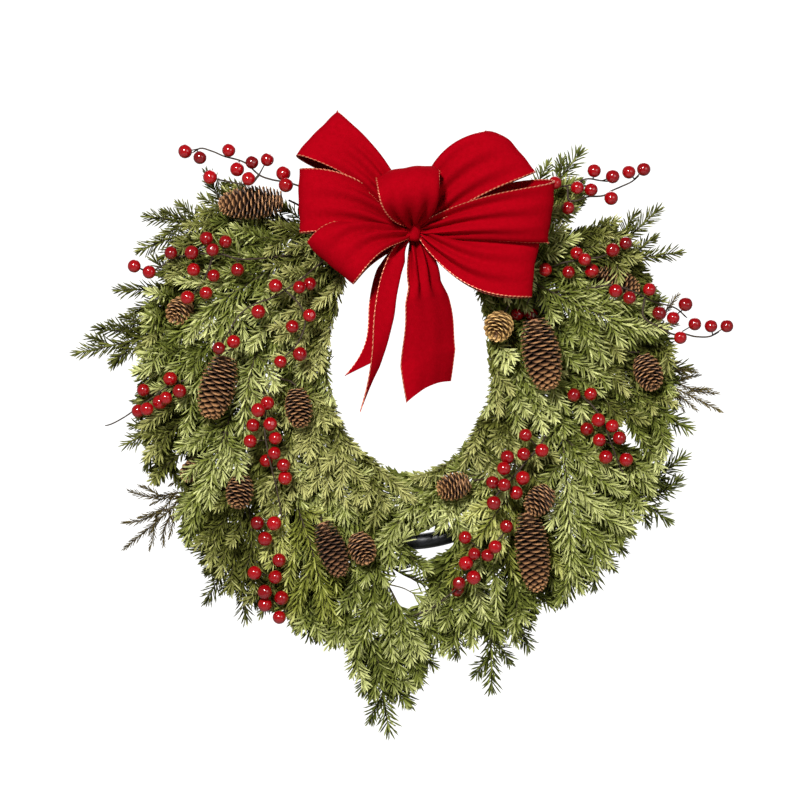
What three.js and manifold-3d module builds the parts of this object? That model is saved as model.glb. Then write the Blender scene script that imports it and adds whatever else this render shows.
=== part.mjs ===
// A hanging evergreen wreath: a black hoop, thirty-one evergreen boughs wired to it, pine cones
// on their stalks, sprays of red berries, and a bow of wire-edged velvet ribbon with two tails.
//
// Millimetres. +X is to the right as the wreath is looked at, +Z is up and +Y points at the wall.
// The origin is the hook's seat, on the underside of the hoop at its top. Everything below is
// written about the hoop's centre, and the group at the end hangs it from the hook's seat.

import * as THREE from "three";
import { mergeVertices } from "three/addons/utils/BufferGeometryUtils.js";
import Module from "manifold-3d";

const wasm = await Module();
wasm.setup();

// ---- Driving dimensions -------------------------------------------------------------------

const HOOP_RADIUS = 160; // to the middle of the tube
const HOOP_TUBE = 8; // radius of the tube
const HOOP_STEPS = 56;
const HOOP_SIDES = 6;

const SEAT_GAP = 0.6; // air between a bough's stem and the hoop that it is wired to
const TWIG_GAP = 0.25; // the same for a twig, whose flat side may face the hoop
const AIR = 0.3; // least air between a needle and any other piece
const WALL_PLANE = 15; // nothing reaches further back than this, where the door would be

const SIDES = 3; // of a stem, a twig or a wire
const SHORT_BAND = 2.6; // length of stem that a whorl of needles or a side shoot grows from
const LONGEST_BAND = 24;
const BUTT_LENGTH = 15; // the stretch of a stem that lies along the hoop
const BARE_LENGTH = 32; // the stretch of a bough, from its butt, that carries no needles
const WHORL_STEP = 23; // distance from one whorl of needles to the next
const NEEDLE_LENGTH = 17;
const NEEDLE_TILT = 48; // degrees between a needle and its stem
const TIP_NEEDLE = 11; // length of the needle that ends a stem
const TIE_WIRE = 0.7; // radius of the binding wire

const BERRY_RADIUS = 6.6;
const PEDICEL_RADIUS = 0.7;
const TWIG_RADIUS = 1.3;

const RIBBON_WIDTH = 63.5; // a two and a half inch ribbon
const RIBBON_THICKNESS = 1.2;

// Finish of each kind of piece: colour, roughness, metalness.
const FINISH = {
  hoop: [0x15161a, 0.45, 0.1],
  fir: [0x6f8a4c, 0.75, 0],
  olive: [0x66693a, 0.8, 0],
  lime: [0x869240, 0.75, 0],
  cedar: [0x6d6240, 0.8, 0],
  cone: [0x6b4527, 0.8, 0],
  berry: [0xb01018, 0.25, 0],
  ribbon: [0xb00418, 0.85, 0],
  wire: [0x3a4a2c, 0.5, 0.6],
};

// ---- Where everything goes ----------------------------------------------------------------
// Places are [x, z] from the hoop's centre, and a depth is how far in front of the hoop's plane.
// A seat is [angle, side]: the angle round the hoop in degrees clockwise from its top, and the
// side of the tube in degrees, 0 at the front, 90 outside, -90 inside and 180 behind. The six-sided
// tube has its ridges at -90, -30, 30, 90 and 150, so that is where stems lie.
// A side shoot is [share of the main stem, x, z, depth].

const BOUGHS = [
  // The left side, from under the bow downwards.
  { kind: "olive", seat: [-14, 30], mid: 12, tip: [-262, 172, 4],
    shoots: [[0.5, -200, 214, 8], [0.6, -270, 138, 2], [0.42, -200, 148, 16]] },
  { kind: "fir", seat: [-23, 30], mid: 36, tip: [-240, 42, 22],
    shoots: [[0.18, -162, 172, 36], [0.26, -176, 140, 38], [0.4, -186, 104, 34], [0.52, -180, 38, 34]] },
  { kind: "olive", seat: [-31, 90], mid: 2, tip: [-291, 97, 0],
    shoots: [[0.55, -255, 127, 2], [0.6, -280, 72, 0]] },
  { kind: "olive", seat: [-42, 150], mid: 6, tip: [-333, 33, 0],
    shoots: [[0.55, -312, 58, 2], [0.6, -297, 26, 3]] },
  { kind: "fir", seat: [-50, 30], mid: 24, tip: [-266, 6, 10],
    shoots: [[0.5, -214, 8, 22], [0.42, -238, 60, 12]] },
  { kind: "fir", seat: [-59, -30], mid: 40, tip: [-163, -46, 34],
    shoots: [[0.4, -130, -2, 34]] },
  { kind: "olive", seat: [-67, -90], mid: 16, tip: [-64, -52, 12],
    shoots: [[0.42, -72, 30, 8], [0.6, -96, -44, 22]] },
  { kind: "olive", seat: [-75, 90], mid: 6, tip: [-284, -60, 0],
    shoots: [[0.5, -268, -32, 6], [0.6, -262, -82, 4]] },
  { kind: "fir", seat: [-84, 30], mid: 38, tip: [-210, -120, 28],
    shoots: [[0.4, -202, -62, 36], [0.45, -166, -82, 38]] },
  { kind: "cedar", seat: [-93, 90], mid: 8, tip: [-285, -166, 2],
    shoots: [[0.5, -280, -108, 4], [0.65, -286, -140, 2], [0.66, -246, -162, 4], [0.45, -226, -134, 10]] },
  { kind: "fir", seat: [-101, -90], mid: 12, tip: [-54, -86, 12],
    shoots: [[0.4, -80, -28, 24], [0.5, -106, -88, 30]] },
  { kind: "olive", seat: [-110, 30], mid: 16, tip: [-201, -218, 4],
    shoots: [[0.6, -219, -163, 6], [0.3, -162, -237, 10], [0.36, -142, -176, 24]] },
  { kind: "fir", seat: [-118, -30], mid: 22, tip: [-6, -100, 14],
    shoots: [[0.4, -46, -76, 12], [0.5, -62, -132, 28]] },
  { kind: "lime", seat: [-126, -30], mid: 36, tip: [-82, -216, 26],
    shoots: [[0.36, -124, -160, 30], [0.5, -56, -184, 32]] },
  { kind: "olive", seat: [-135, 90], mid: 8, tip: [-66, -260, 2],
    shoots: [[0.4, -120, -208, 10], [0.5, -94, -236, 8]] },
  { kind: "fir", seat: [-145, 30], mid: 22, tip: [-16, -352, 8],
    shoots: [[0.5, -36, -306, 6], [0.4, -54, -264, 14], [0.6, 4, -322, 10]] },
  { kind: "fir", seat: [-155, -30], mid: 28, tip: [14, -302, 12],
    shoots: [[0.22, 36, -200, 22], [0.45, -22, -250, 24], [0.6, 22, -268, 12], [0.12, 2, -150, 30]] },
  // The right side, from under the bow downwards.
  { kind: "fir", seat: [22, 90], mid: 8, tip: [178, 237, 4],
    shoots: [[0.55, 160, 206, 6]] },
  { kind: "olive", seat: [31, 90], mid: 12, tip: [278, 135, 2],
    shoots: [[0.4, 257, 178, 4], [0.5, 226, 156, 12], [0.42, 214, 106, 20]] },
  { kind: "fir", seat: [40, 30], mid: 36, tip: [247, 50, 26],
    shoots: [[0.35, 190, 86, 38], [0.5, 236, 84, 26], [0.4, 186, 44, 36]] },
  { kind: "cedar", seat: [49, 90], mid: 4, tip: [321, -26, 0],
    shoots: [[0.55, 296, 14, 2], [0.75, 318, -8, 0], [0.62, 296, -24, 2], [0.35, 278, 92, 2]] },
  { kind: "olive", seat: [58, 30], mid: 14, tip: [290, 17, 6],
    shoots: [[0.5, 283, 42, 6], [0.4, 238, 2, 26]] },
  { kind: "fir", seat: [67, 90], mid: 14, tip: [287, -43, 6],
    shoots: [[0.5, 262, -14, 10], [0.6, 266, -62, 8]] },
  { kind: "olive", seat: [76, -90], mid: 10, tip: [84, -70, 10],
    shoots: [[0.4, 90, 18, 10], [0.4, 128, -54, 22]] },
  { kind: "fir", seat: [85, -30], mid: 34, tip: [167, -178, 34],
    shoots: [[0.2, 138, -62, 38], [0.25, 186, -72, 34], [0.5, 186, -146, 30]] },
  { kind: "fir", seat: [94, 90], mid: 8, tip: [267, -137, 2],
    shoots: [[0.5, 283, -73, 4], [0.5, 236, -88, 10], [0.7, 278, -98, 2]] },
  { kind: "fir", seat: [103, 30], mid: 20, tip: [220, -167, 8],
    shoots: [[0.5, 228, -120, 12], [0.3, 163, -218, 14], [0.5, 192, -204, 6]] },
  { kind: "fir", seat: [112, -30], mid: 24, tip: [5, -93, 14],
    shoots: [[0.5, 58, -62, 12], [0.35, 36, -146, 24], [0.6, -22, -122, 20]] },
  { kind: "lime", seat: [121, -30], mid: 40, tip: [65, -163, 40],
    shoots: [[0.45, 96, -160, 40], [0.4, 72, -124, 40]] },
  { kind: "fir", seat: [130, 30], mid: 18, tip: [88, -308, 8],
    shoots: [[0.25, 125, -265, 10], [0.45, 110, -252, 14], [0.5, 70, -250, 16]] },
  { kind: "fir", seat: [141, 30], mid: 26, tip: [52, -273, 10],
    shoots: [[0.45, 76, -238, 20], [0.3, 26, -270, 14], [0.3, 30, -222, 26]] },
];

// A cone is [base x, z, depth, tip x, z, depth, diameter]. Its stalk runs back to its seat.
const CONES = [
  { seat: [-18, 30], cones: [[-123, 185, 40, -188, 180, 48, 34]] },
  { seat: [-72, 30], cones: [[-179, 28, 46, -196, -35, 52, 37]] },
  { seat: [-80, -30], cones: [[-109, -5, 38, -104, -42, 50, 28]] },
  { seat: [-112, -30], cones: [[-163, -92, 36, -168, -122, 48, 28]] },
  { seat: [-52, 90], cones: [[-222, 84, 18, -232, 66, 38, 27]] },
  { seat: [-99, 90], cones: [[-214, -80, 16, -220, -94, 30, 20]] },
  { seat: [-150, -30], cones: [[-83, -138, 40, -63, -193, 46, 30], [-48, -152, 32, -38, -176, 50, 28]] },
  { seat: [125, -30], cones: [[64, -97, 42, 33, -106, 48, 28]] },
  { seat: [47, -30], cones: [[98, 68, 30, 90, 50, 50, 30]] },
  { seat: [60, -30], cones: [[129, 65, 48, 144, -7, 54, 39]] },
  { seat: [77, 30], cones: [[240, 28, 20, 250, -3, 38, 29]] },
  { seat: [112, 30], cones: [[123, -128, 38, 133, -210, 46, 35], [144, -104, 48, 124, -126, 58, 28]] },
  { seat: [42, 30], cones: [[195, 113, 22, 237, 95, 28, 26]] },
];

// A berry spray has twigs, each a list of [x, z, depth], and berries at [x, z]. The first twig
// starts at the seat, and each of the others starts on the twig before it, where it is nearest.
const BERRY_SPRAYS = [
  { seat: [-9, 30],
    twigs: [[[-105, 199, 44], [-143, 208, 52], [-160, 222, 50], [-182, 229, 46], [-204, 237, 44],
      [-213, 232, 44]],
      [[-150, 200, 56], [-186, 204, 56]]],
    berries: [[-219, 233], [-203.5, 225.5], [-175.5, 233.5], [-167, 215], [-152, 221], [-137, 224],
      [-193, 206], [-155, 204], [-121, 210], [-118, 198]] },
  { seat: [-31, 30],
    twigs: [[[-165, 126, 44], [-185, 131, 44], [-225, 129, 38], [-258, 114, 34], [-268, 118, 34]],
      [[-196, 118, 42], [-208, 96, 40], [-214, 88, 40]]],
    berries: [[-271, 119], [-256, 113], [-234, 132], [-213, 132], [-198, 146], [-179, 143], [-191, 134],
      [-167, 115], [-211, 115], [-191, 109], [-199, 92], [-216, 87]] },
  { seat: [-22, -30],
    twigs: [[[-105, 105, 50], [-130, 88, 54], [-147, 82, 54], [-162, 73, 54], [-178, 48, 58]],
      [[-100, 70, 50], [-105, 45, 50], [-120, 28, 50]]],
    berries: [[-128, 98], [-105, 97], [-95, 101], [-146, 73], [-170, 43], [-184, 36], [-112, 58],
      [-95, 69], [-105, 31], [-124, 23]] },
  { seat: [-70, 30],
    twigs: [[[-215, 7, 30], [-235, 1, 30], [-255, -13, 28], [-295, -39, 24], [-303, -41, 24]]],
    berries: [[-263, -5], [-235, 6], [-268, -26], [-258, -24], [-247, -17], [-239, -13], [-225, -6]] },
  { seat: [-88, -30],
    twigs: [[[-139, -12, 46], [-140, -45, 50], [-135, -75, 50], [-128, -105, 46], [-123, -135, 42]]],
    berries: [[-137, -18], [-145, -25], [-151, -40], [-134, -39], [-154, -56], [-129, -53], [-130, -68],
      [-139, -76], [-121, -80], [-120, -93]] },
  { seat: [-122, 30],
    twigs: [[[-124, -140, 42], [-133, -165, 42], [-139, -195, 38], [-134, -212, 34], [-115, -230, 30],
      [-102, -243, 28], [-94, -253, 26], [-86, -255, 26]]],
    berries: [[-147, -138], [-130, -138], [-139, -154], [-126, -175], [-150, -188], [-130, -192],
      [-140, -207], [-124, -214], [-140, -220], [-126, -233]] },
  { seat: [27, 30],
    twigs: [[[151, 197, 40], [168, 201, 40], [180, 207, 40], [195, 205, 40], [205, 204, 40]],
      [[165, 185, 40], [185, 189, 40], [198, 189, 40], [210, 197, 38], [223, 201, 38], [235, 210, 38]]],
    berries: [[189, 214], [207, 208], [224, 213], [240, 217], [172, 197], [186, 195], [206, 187],
      [163, 177], [150, 202]] },
  { seat: [46, 30],
    twigs: [[[134, 112, 28], [155, 122, 44], [185, 127, 48], [200, 129, 46], [214, 138, 44]],
      [[128, 94, 38], [122, 80, 44]]],
    berries: [[208, 135], [221, 142], [172, 132], [179, 125], [187, 115], [141, 116], [164, 113],
      [114, 72], [128, 72]] },
  { seat: [56, 30],
    twigs: [[[205, 100, 44], [230, 93, 44], [250, 83, 42], [270, 78, 40], [283, 67, 40]],
      [[235, 73, 44], [250, 63, 42], [265, 50, 40], [280, 52, 38], [300, 47, 38], [315, 53, 38]]],
    berries: [[210, 94], [224, 87], [243, 95], [254, 72], [268, 67], [279, 80], [290, 61], [306, 59],
      [322, 59], [274, 47]] },
  { seat: [87, 30],
    twigs: [[[185, -18, 40], [195, -30, 42], [207, -60, 42], [220, -90, 36], [232, -102, 32]]],
    berries: [[186, -9], [170, -10], [193, -35], [207, -41], [183, -44], [194, -55], [214, -53],
      [201, -72], [221, -75]] },
  { seat: [99, -30],
    twigs: [[[135, -60, 48], [120, -77, 52], [107, -93, 54], [93, -107, 54], [85, -120, 54]]],
    berries: [[120, -50], [136, -65], [118, -69], [102, -72], [98, -83], [117, -92], [87, -97],
      [98, -99], [110, -107], [88, -117]] },
  { seat: [134, 30],
    twigs: [[[101, -145, 44], [85, -163, 48], [70, -175, 48], [55, -200, 40], [25, -225, 36], [8, -232, 34]]],
    berries: [[101, -141], [60, -152], [69, -168], [82, -169], [89, -160], [61, -178], [68, -191],
      [54, -198], [53, -207]] },
];

// ---- Small helpers ------------------------------------------------------------------------

const vec = (x, y, z) => new THREE.Vector3(x, y, z);
const radians = THREE.MathUtils.degToRad;

function finish(kind) {
  const [color, roughness, metalness] = FINISH[kind];
  return new THREE.MeshStandardMaterial({ color, roughness, metalness });
}

// A closed geometry as a solid that can be joined.
function solid(geometry) {
  geometry.deleteAttribute("normal");
  geometry.deleteAttribute("uv");
  const merged = mergeVertices(geometry, 1e-3);
  return new wasm.Manifold(new wasm.Mesh({
    numProp: 3,
    vertProperties: merged.attributes.position.array,
    triVerts: new Uint32Array(merged.index.array),
  }));
}

// The solids joined into one body. A scrap that the joining leaves loose is dropped.
function fused(solids) {
  const bodies = wasm.Manifold.union(solids).decompose();
  const whole = bodies.reduce((a, b) => (b.volume() > a.volume() ? b : a));
  const mesh = whole.getMesh();
  const geometry = new THREE.BufferGeometry();
  geometry.setAttribute("position", new THREE.BufferAttribute(mesh.vertProperties, 3));
  geometry.setIndex(new THREE.BufferAttribute(mesh.triVerts, 1));
  return geometry;
}

// ---- The hoop and the seats on it ---------------------------------------------------------

const outward = (angle) => vec(Math.sin(radians(angle)), 0, Math.cos(radians(angle)));

// Along the hoop, away from the bow: clockwise on the right and anticlockwise on the left.
function alongHoop(angle) {
  const way = angle < 0 ? -1 : 1;
  return vec(Math.cos(radians(angle)), 0, -Math.sin(radians(angle))).multiplyScalar(way);
}

// A point beside the hoop's tube, on the given side of it and off its middle by the reach.
function besideHoop(angle, side, reach) {
  const forward = vec(0, -Math.cos(radians(side)), 0);
  const off = forward.addScaledVector(outward(angle), Math.sin(radians(side)));
  return outward(angle).multiplyScalar(HOOP_RADIUS).addScaledVector(off, reach);
}

// The stretch of stem that is wired along the hoop, before it bends away.
function butt([angle, side], radius, length = BUTT_LENGTH, gap = SEAT_GAP) {
  const reach = HOOP_TUBE + radius + gap;
  const half = THREE.MathUtils.radToDeg(length / 2 / HOOP_RADIUS) * (angle < 0 ? -1 : 1);
  return [-half, 0, half].map((turn) => besideHoop(angle + turn, side, reach));
}

function hoop() {
  const torus = new THREE.TorusGeometry(HOOP_RADIUS, HOOP_TUBE, HOOP_SIDES, HOOP_STEPS);
  return torus.rotateX(Math.PI / 2);
}

// ---- Clearance: which places are taken -----------------------------------------------------

const taken = []; // straight stretches, each { a, b, ra, rb, name }

function takeLine(points, radius, name) {
  for (let i = 0; i + 1 < points.length; i++) {
    taken.push({ a: points[i], b: points[i + 1], ra: radius, rb: radius, name });
  }
}

// Least distance between two straight stretches, with the share along each where it falls.
function nearest(p1, q1, p2, q2) {
  const d1 = q1.clone().sub(p1);
  const d2 = q2.clone().sub(p2);
  const r = p1.clone().sub(p2);
  const a = d1.dot(d1);
  const e = d2.dot(d2);
  const b = d1.dot(d2);
  const c = d1.dot(r);
  const f = d2.dot(r);
  const { clamp } = THREE.MathUtils;
  const denominator = a * e - b * b;
  let s = denominator > 1e-9 ? clamp((b * f - c * e) / denominator, 0, 1) : 0;
  const t = e > 1e-9 ? clamp((b * s + f) / e, 0, 1) : 0;
  s = a > 1e-9 ? clamp((b * t - c) / a, 0, 1) : 0;
  const gap = p1.clone().addScaledVector(d1, s).distanceTo(p2.clone().addScaledVector(d2, t));
  return { gap, s, t };
}

// Whether a stretch keeps its air to all that is placed, but for what is named in skip. A name
// that ends in a point stands for every part of that piece.
function isFree(a, b, ra, rb, skip = []) {
  return taken.every((other) => {
    const reach = a.distanceTo(b) + Math.max(ra, rb) + Math.max(other.ra, other.rb) + AIR;
    if (other.a.distanceTo(a) - other.a.distanceTo(other.b) > reach) return true;
    const isOf = (own) => other.name === own || (own.endsWith(".") && other.name.startsWith(own));
    if (skip.some(isOf)) return true;
    const { gap, s, t } = nearest(a, b, other.a, other.b);
    const mine = THREE.MathUtils.lerp(ra, rb, s);
    const its = THREE.MathUtils.lerp(other.ra, other.rb, t);
    return gap > mine + its + AIR;
  });
}

// ---- Bodies grown from three-sided tubes ----------------------------------------------------
// A body is its points and its faces. What grows on a face replaces it, so a bough with its side
// shoots and needles is one closed skin from the start, and nothing has to be cut and joined.

class Body {
  points = [];
  faces = [];

  point(p) {
    return this.points.push(p) - 1;
  }

  face(a, b, c) {
    const middle = [a, b, c].reduce((sum, i) => sum.add(this.points[i]), vec(0, 0, 0)).divideScalar(3);
    const face = { corners: [a, b, c], middle, used: false };
    this.faces.push(face);
    return face;
  }

  // The unused face of a band that looks most nearly the given way.
  facing(band, way) {
    return band.filter((f) => !f.used).reduce((a, b) => (b.out.dot(way) > a.out.dot(way) ? b : a));
  }

  spike(face, tip) {
    face.used = true;
    const [a, b, c] = face.corners;
    const top = this.point(tip);
    for (const [u, v] of [[a, b], [b, c], [c, a]]) this.face(u, v, top);
  }

  // One band of six faces between two rings of three corners, the second half a step on.
  band(low, high, from, to) {
    const along = to.clone().sub(from).normalize();
    const faces = low.flatMap((corner, j) => {
      const next = (j + 1) % SIDES;
      return [this.face(corner, low[next], high[j]), this.face(high[j], low[next], high[next])];
    });
    for (const f of faces) {
      f.along = along;
      f.out = f.middle.clone().sub(from);
      f.out.addScaledVector(along, -f.out.dot(along)).normalize();
    }
    return faces;
  }

  // A tube along a line of points, from a face that it grows on or from an end of its own.
  // It returns its bands, and the last ring stays open for what ends it, which may lie beyond.
  tube(line, startRadius, endRadius, root = null, beyond = line[line.length - 1]) {
    const last = line.length - 1;
    const ring = (i, normal, along) => {
      const radius = THREE.MathUtils.lerp(startRadius, endRadius, i / last);
      return Array.from({ length: SIDES }, (_, j) => {
        const spoke = normal.clone().applyAxisAngle(along, (2 * Math.PI * j) / SIDES);
        return this.point(line[i].clone().addScaledVector(spoke, radius));
      });
    };
    const direction = (i) => (line[i + 1] ?? beyond).clone().sub(line[Math.max(i - 1, 0)]).normalize();
    const square = (normal, along) => normal.addScaledVector(along, -normal.dot(along)).normalize();
    let normal;
    let low;
    if (root) {
      root.used = true;
      low = root.corners;
      normal = this.points[low[0]].clone().sub(root.middle);
    } else {
      normal = square(vec(0.01, -1, 0.02), direction(0));
      low = ring(0, normal, direction(0));
      this.face(low[2], low[1], low[0]);
    }
    const bands = [];
    for (let i = 1; i <= last; i++) {
      const along = direction(i);
      normal = square(normal.clone(), along).applyAxisAngle(along, Math.PI / SIDES);
      const high = ring(i, normal, along);
      bands.push(this.band(low, high, line[i - 1], line[i]));
      low = high;
    }
    return { bands, open: low, end: line[last] };
  }

  // The point that ends a tube.
  close({ open }, tip) {
    const top = this.point(tip);
    open.forEach((corner, j) => this.face(corner, open[(j + 1) % SIDES], top));
  }

  // A tube's open end joined to a face of the same body.
  weld({ open, end }, face) {
    face.used = true;
    const back = [...face.corners].reverse();
    const between = (j) => this.points[open[j]].clone().lerp(this.points[open[(j + 1) % SIDES]], 0.5);
    const twist = (k) => {
      return open.reduce((sum, _, j) => sum + between(j).distanceTo(this.points[back[(j + k) % SIDES]]), 0);
    };
    const best = [0, 1, 2].reduce((a, b) => (twist(b) < twist(a) ? b : a));
    this.band(open, open.map((_, j) => back[(j + best) % SIDES]), end, face.middle);
  }

  geometry() {
    const geometry = new THREE.BufferGeometry().setFromPoints(this.points);
    return geometry.setIndex(this.faces.filter((f) => !f.used).flatMap((f) => f.corners));
  }
}

// A curve's points, with a short band at each mark and its other bands not too long. The marks
// are lengths along the curve, in order. bandAt gives the number of each mark's band.
function marked(curve, marks, end) {
  const length = curve.getLength();
  const stations = [0];
  const advance = (to) => {
    const from = stations[stations.length - 1];
    const pieces = Math.ceil((to - from) / LONGEST_BAND);
    for (let k = 1; k <= pieces; k++) stations.push(THREE.MathUtils.lerp(from, to, k / pieces));
  };
  const bandAt = marks.map((mark) => {
    advance(mark);
    stations.push(mark + SHORT_BAND);
    return stations.length - 2;
  });
  if (end > stations[stations.length - 1] + SHORT_BAND) advance(end);
  return { line: stations.map((s) => curve.getPointAt(s / length)), bandAt };
}

const easy = (points) => new THREE.CatmullRomCurve3(points);

// The corners of one turn of binding wire round the hoop, from beside a seat to its other side.
const TIE_START = 60; // degrees round the tube from the stem to the wire's first corner
const TIE_STEP = 80; // and from each corner to the next

function tieCorners([angle, side]) {
  const centre = outward(angle).multiplyScalar(HOOP_RADIUS);
  const toStem = besideHoop(angle, side, 1).sub(besideHoop(angle, side, 0));
  const reach = (HOOP_TUBE + SEAT_GAP + TIE_WIRE) / Math.cos(radians(TIE_STEP / 2));
  return [0, 1, 2, 3].map((i) => TIE_START + TIE_STEP * i).map((turn) => {
    const way = toStem.clone().applyAxisAngle(alongHoop(angle), radians(turn));
    return centre.clone().addScaledVector(way, reach);
  });
}

// The whole turn of the wire, from its stem and back to it.
function tieLoop(seat) {
  const stem = besideHoop(seat[0], seat[1], HOOP_TUBE + MAIN_RADIUS);
  return [stem, ...tieCorners(seat), stem];
}

// The wire grows out of a stem's side, goes round the hoop and into the stem's other side.
function tie(body, seat, band) {
  const corners = tieCorners(seat);
  const stem = besideHoop(seat[0], seat[1], HOOP_TUBE);
  const start = body.facing(band, corners[0].clone().sub(stem).normalize());
  start.used = true;
  const end = body.facing(band, corners[3].clone().sub(stem).normalize());
  body.weld(body.tube([start.middle, ...corners], TIE_WIRE, TIE_WIRE, start, end.middle), end);
}

// The foot of a needle or of a berry's stalk isn't tested, because it stands on its stem.
const NEEDLE_FOOT = 0.12;
const STALK_FOOT = 0.16;

// The share of a bough, of a twig and of a stalk, from its butt, that may lie close to the hoop.
const BOUGH_BESIDE = 0.6;
const TWIG_BESIDE = 0.4;
const STALK_BESIDE = 0.3;
const CURVE_STEPS = 32; // a curve is tested in this many straight pieces

// Whether a curve keeps its air. Each skip is a name, and the share of the curve's length up to
// which the curve may come near it, as a butt lies near the hoop and a shoot near its stem.
function isClear(curve, radius, skips) {
  const points = curve.getPoints(CURVE_STEPS);
  return points.slice(1).every((point, i) => {
    const skip = skips.filter(([, share]) => i / CURVE_STEPS < share).map(([name]) => name);
    return point.y < WALL_PLANE - radius && isFree(points[i], point, radius, radius, skip);
  });
}

// Whether a butt, and its tie if it has one, find room on the hoop.
function seatIsFree(seat, radius, length, tied) {
  const [a, b, c] = butt(seat, radius, length);
  const wire = tied ? tieLoop(seat) : [];
  const straight = isFree(a, b, radius, radius) && isFree(b, c, radius, radius);
  return straight && wire.every((p, i) => i === 0 || isFree(wire[i - 1], p, TIE_WIRE, TIE_WIRE));
}

// Places are tried in the order of how far they are from the one wanted: a turn along the hoop,
// a roll to the next ridge of its tube, a lift of the free part towards the viewer, and a sway of
// its middle to one side.
const TURNS = [0, 1, -1, 2, -2, 3, -3, 4, -4, 5, -5, 6, -6, 7, -7, 8, -8, 9, -9, 10, -10];
const RIDGE = 60; // degrees round the tube from one ridge to the next
const ROLLS = [0, RIDGE, -RIDGE];
const LIFTS = [0, 3, -3, 6, -6, 9, -9, 12, -12, 15, -15, 18, 21, 24, 27, 30, 34, 38, 42];
const SWAYS = [0, 8, -8, 16, -16];
const BENDS = LIFTS.flatMap((lift) => SWAYS.map((sway) => ({ turn: 0, roll: 0, lift, sway })));
const PLACES = TURNS.flatMap((turn) => {
  return ROLLS.flatMap((roll) => BENDS.map((bend) => ({ ...bend, turn, roll })));
});

function strain({ turn, roll, lift, sway }) {
  return 1.5 * Math.abs(turn) + 0.1 * Math.abs(roll) + Math.abs(lift) + 0.7 * Math.abs(sway);
}

for (const choices of [BENDS, PLACES]) choices.sort((a, b) => strain(a) - strain(b));

// A point moved square to the way from one place to another, as seen from the front.
function swayed(point, from, to, sway) {
  const way = to.clone().sub(from).setY(0).normalize();
  return point.addScaledVector(vec(way.z, 0, -way.x), sway);
}

// The nearest seat and bend that fit: curvesAt(seat, bend) gives what has to be clear from there.
function findPlace([angle, side], radius, length, tied, skips, curvesAt) {
  const seatAt = ({ turn, roll }) => [angle + turn, side + roll];
  const free = new Map();
  const fits = (place) => {
    const key = `${place.turn} ${place.roll}`;
    if (!free.has(key)) free.set(key, seatIsFree(seatAt(place), radius, length, tied));
    return free.get(key) && curvesAt(seatAt(place), place).every((c) => isClear(c, radius, skips));
  };
  const place = PLACES.find(fits) ?? PLACES[0];
  return { seat: seatAt(place), bend: place };
}

// ---- Boughs --------------------------------------------------------------------------------

const MAIN_RADIUS = 1.9;
const SHOOT_RADIUS = 1.4;
const TIP_RADIUS = 0.9;
const CEDAR_SHARE = 0.6; // a cedar sprig's needles are this much shorter
const BEND = 0.12; // how far a stem keeps its first direction, as a share of its reach
const COLLAR = 4; // how far a side shoot stands off before it bends away

// The line of a main stem: along the hoop, then away in one easy bend to its tip.
function mainCurve({ mid, tip }, seat, { lift, sway }) {
  const start = butt(seat, MAIN_RADIUS);
  const from = start[2];
  const to = vec(tip[0], -tip[2] - lift, tip[1]);
  const middle = from.clone().lerp(to, 0.5).addScaledVector(alongHoop(seat[0]), BEND * from.distanceTo(to));
  middle.y = -mid - lift;
  return easy([...start, swayed(middle, from, to, sway), to]);
}

// The line of a side shoot: squarely off the face that it grows on, then away to its tip.
function shootCurve({ middle: from, out, along }, [, x, z, depth], { lift, sway }) {
  const to = vec(x, -depth - lift, z);
  const collar = from.clone().addScaledVector(out, COLLAR).addScaledVector(along, COLLAR / 2);
  const middle = from.clone().lerp(to, 0.5).addScaledVector(along, BEND * from.distanceTo(to));
  middle.y = THREE.MathUtils.lerp(from.y, to.y, 0.5);
  return easy([from, collar, swayed(middle, from, to, sway), to]);
}

// The lengths along a leafy stem where its whorls stand, the last one under the tip's needle.
function whorlMarks(length, bare) {
  const last = length - TIP_NEEDLE - SHORT_BAND;
  const steps = Math.max(1, Math.round((last - bare) / WHORL_STEP));
  return Array.from({ length: steps + 1 }, (_, i) => THREE.MathUtils.lerp(bare, last, i / steps));
}

// The stems of a bough. A side shoot grows from the whorl that is nearest to its share.
const ROOT_SHARE = 0.28; // near its root a side shoot may pass close to its bough's main stem
const FORK_SHARE = 0.08; // and right at the fork to the side shoots that stand beside it

function growStems(bough, name) {
  const body = new Body();
  const curvesAt = (at, bend) => [mainCurve(bough, at, bend)];
  const skips = [["hoop", BOUGH_BESIDE]];
  const { seat, bend } = findPlace(bough.seat, MAIN_RADIUS, BUTT_LENGTH, true, skips, curvesAt);
  const curve = mainCurve(bough, seat, bend);
  const length = curve.getLength();
  const marks = [(BUTT_LENGTH - SHORT_BAND) / 2, ...whorlMarks(length, BARE_LENGTH)];
  const { line, bandAt } = marked(curve, marks, length - TIP_NEEDLE);
  const main = body.tube(line, MAIN_RADIUS, TIP_RADIUS);
  body.close(main, curve.getPointAt(1));
  tie(body, seat, main.bands[bandAt[0]]);
  takeLine([...line, curve.getPointAt(1)], MAIN_RADIUS, name);
  takeLine(tieLoop(seat), TIE_WIRE, name);
  const whorls = bandAt.slice(1).map((band) => main.bands[band]);
  const stems = [{ name, whorls }];
  bough.shoots.forEach((shoot, i) => {
    const own = `${name}.${i}`;
    const grown = growShoot(body, whorls[Math.round(shoot[0] * (whorls.length - 1))], shoot, name, own);
    if (grown) stems.push({ name: own, whorls: grown });
  });
  return { body, stems };
}

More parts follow.
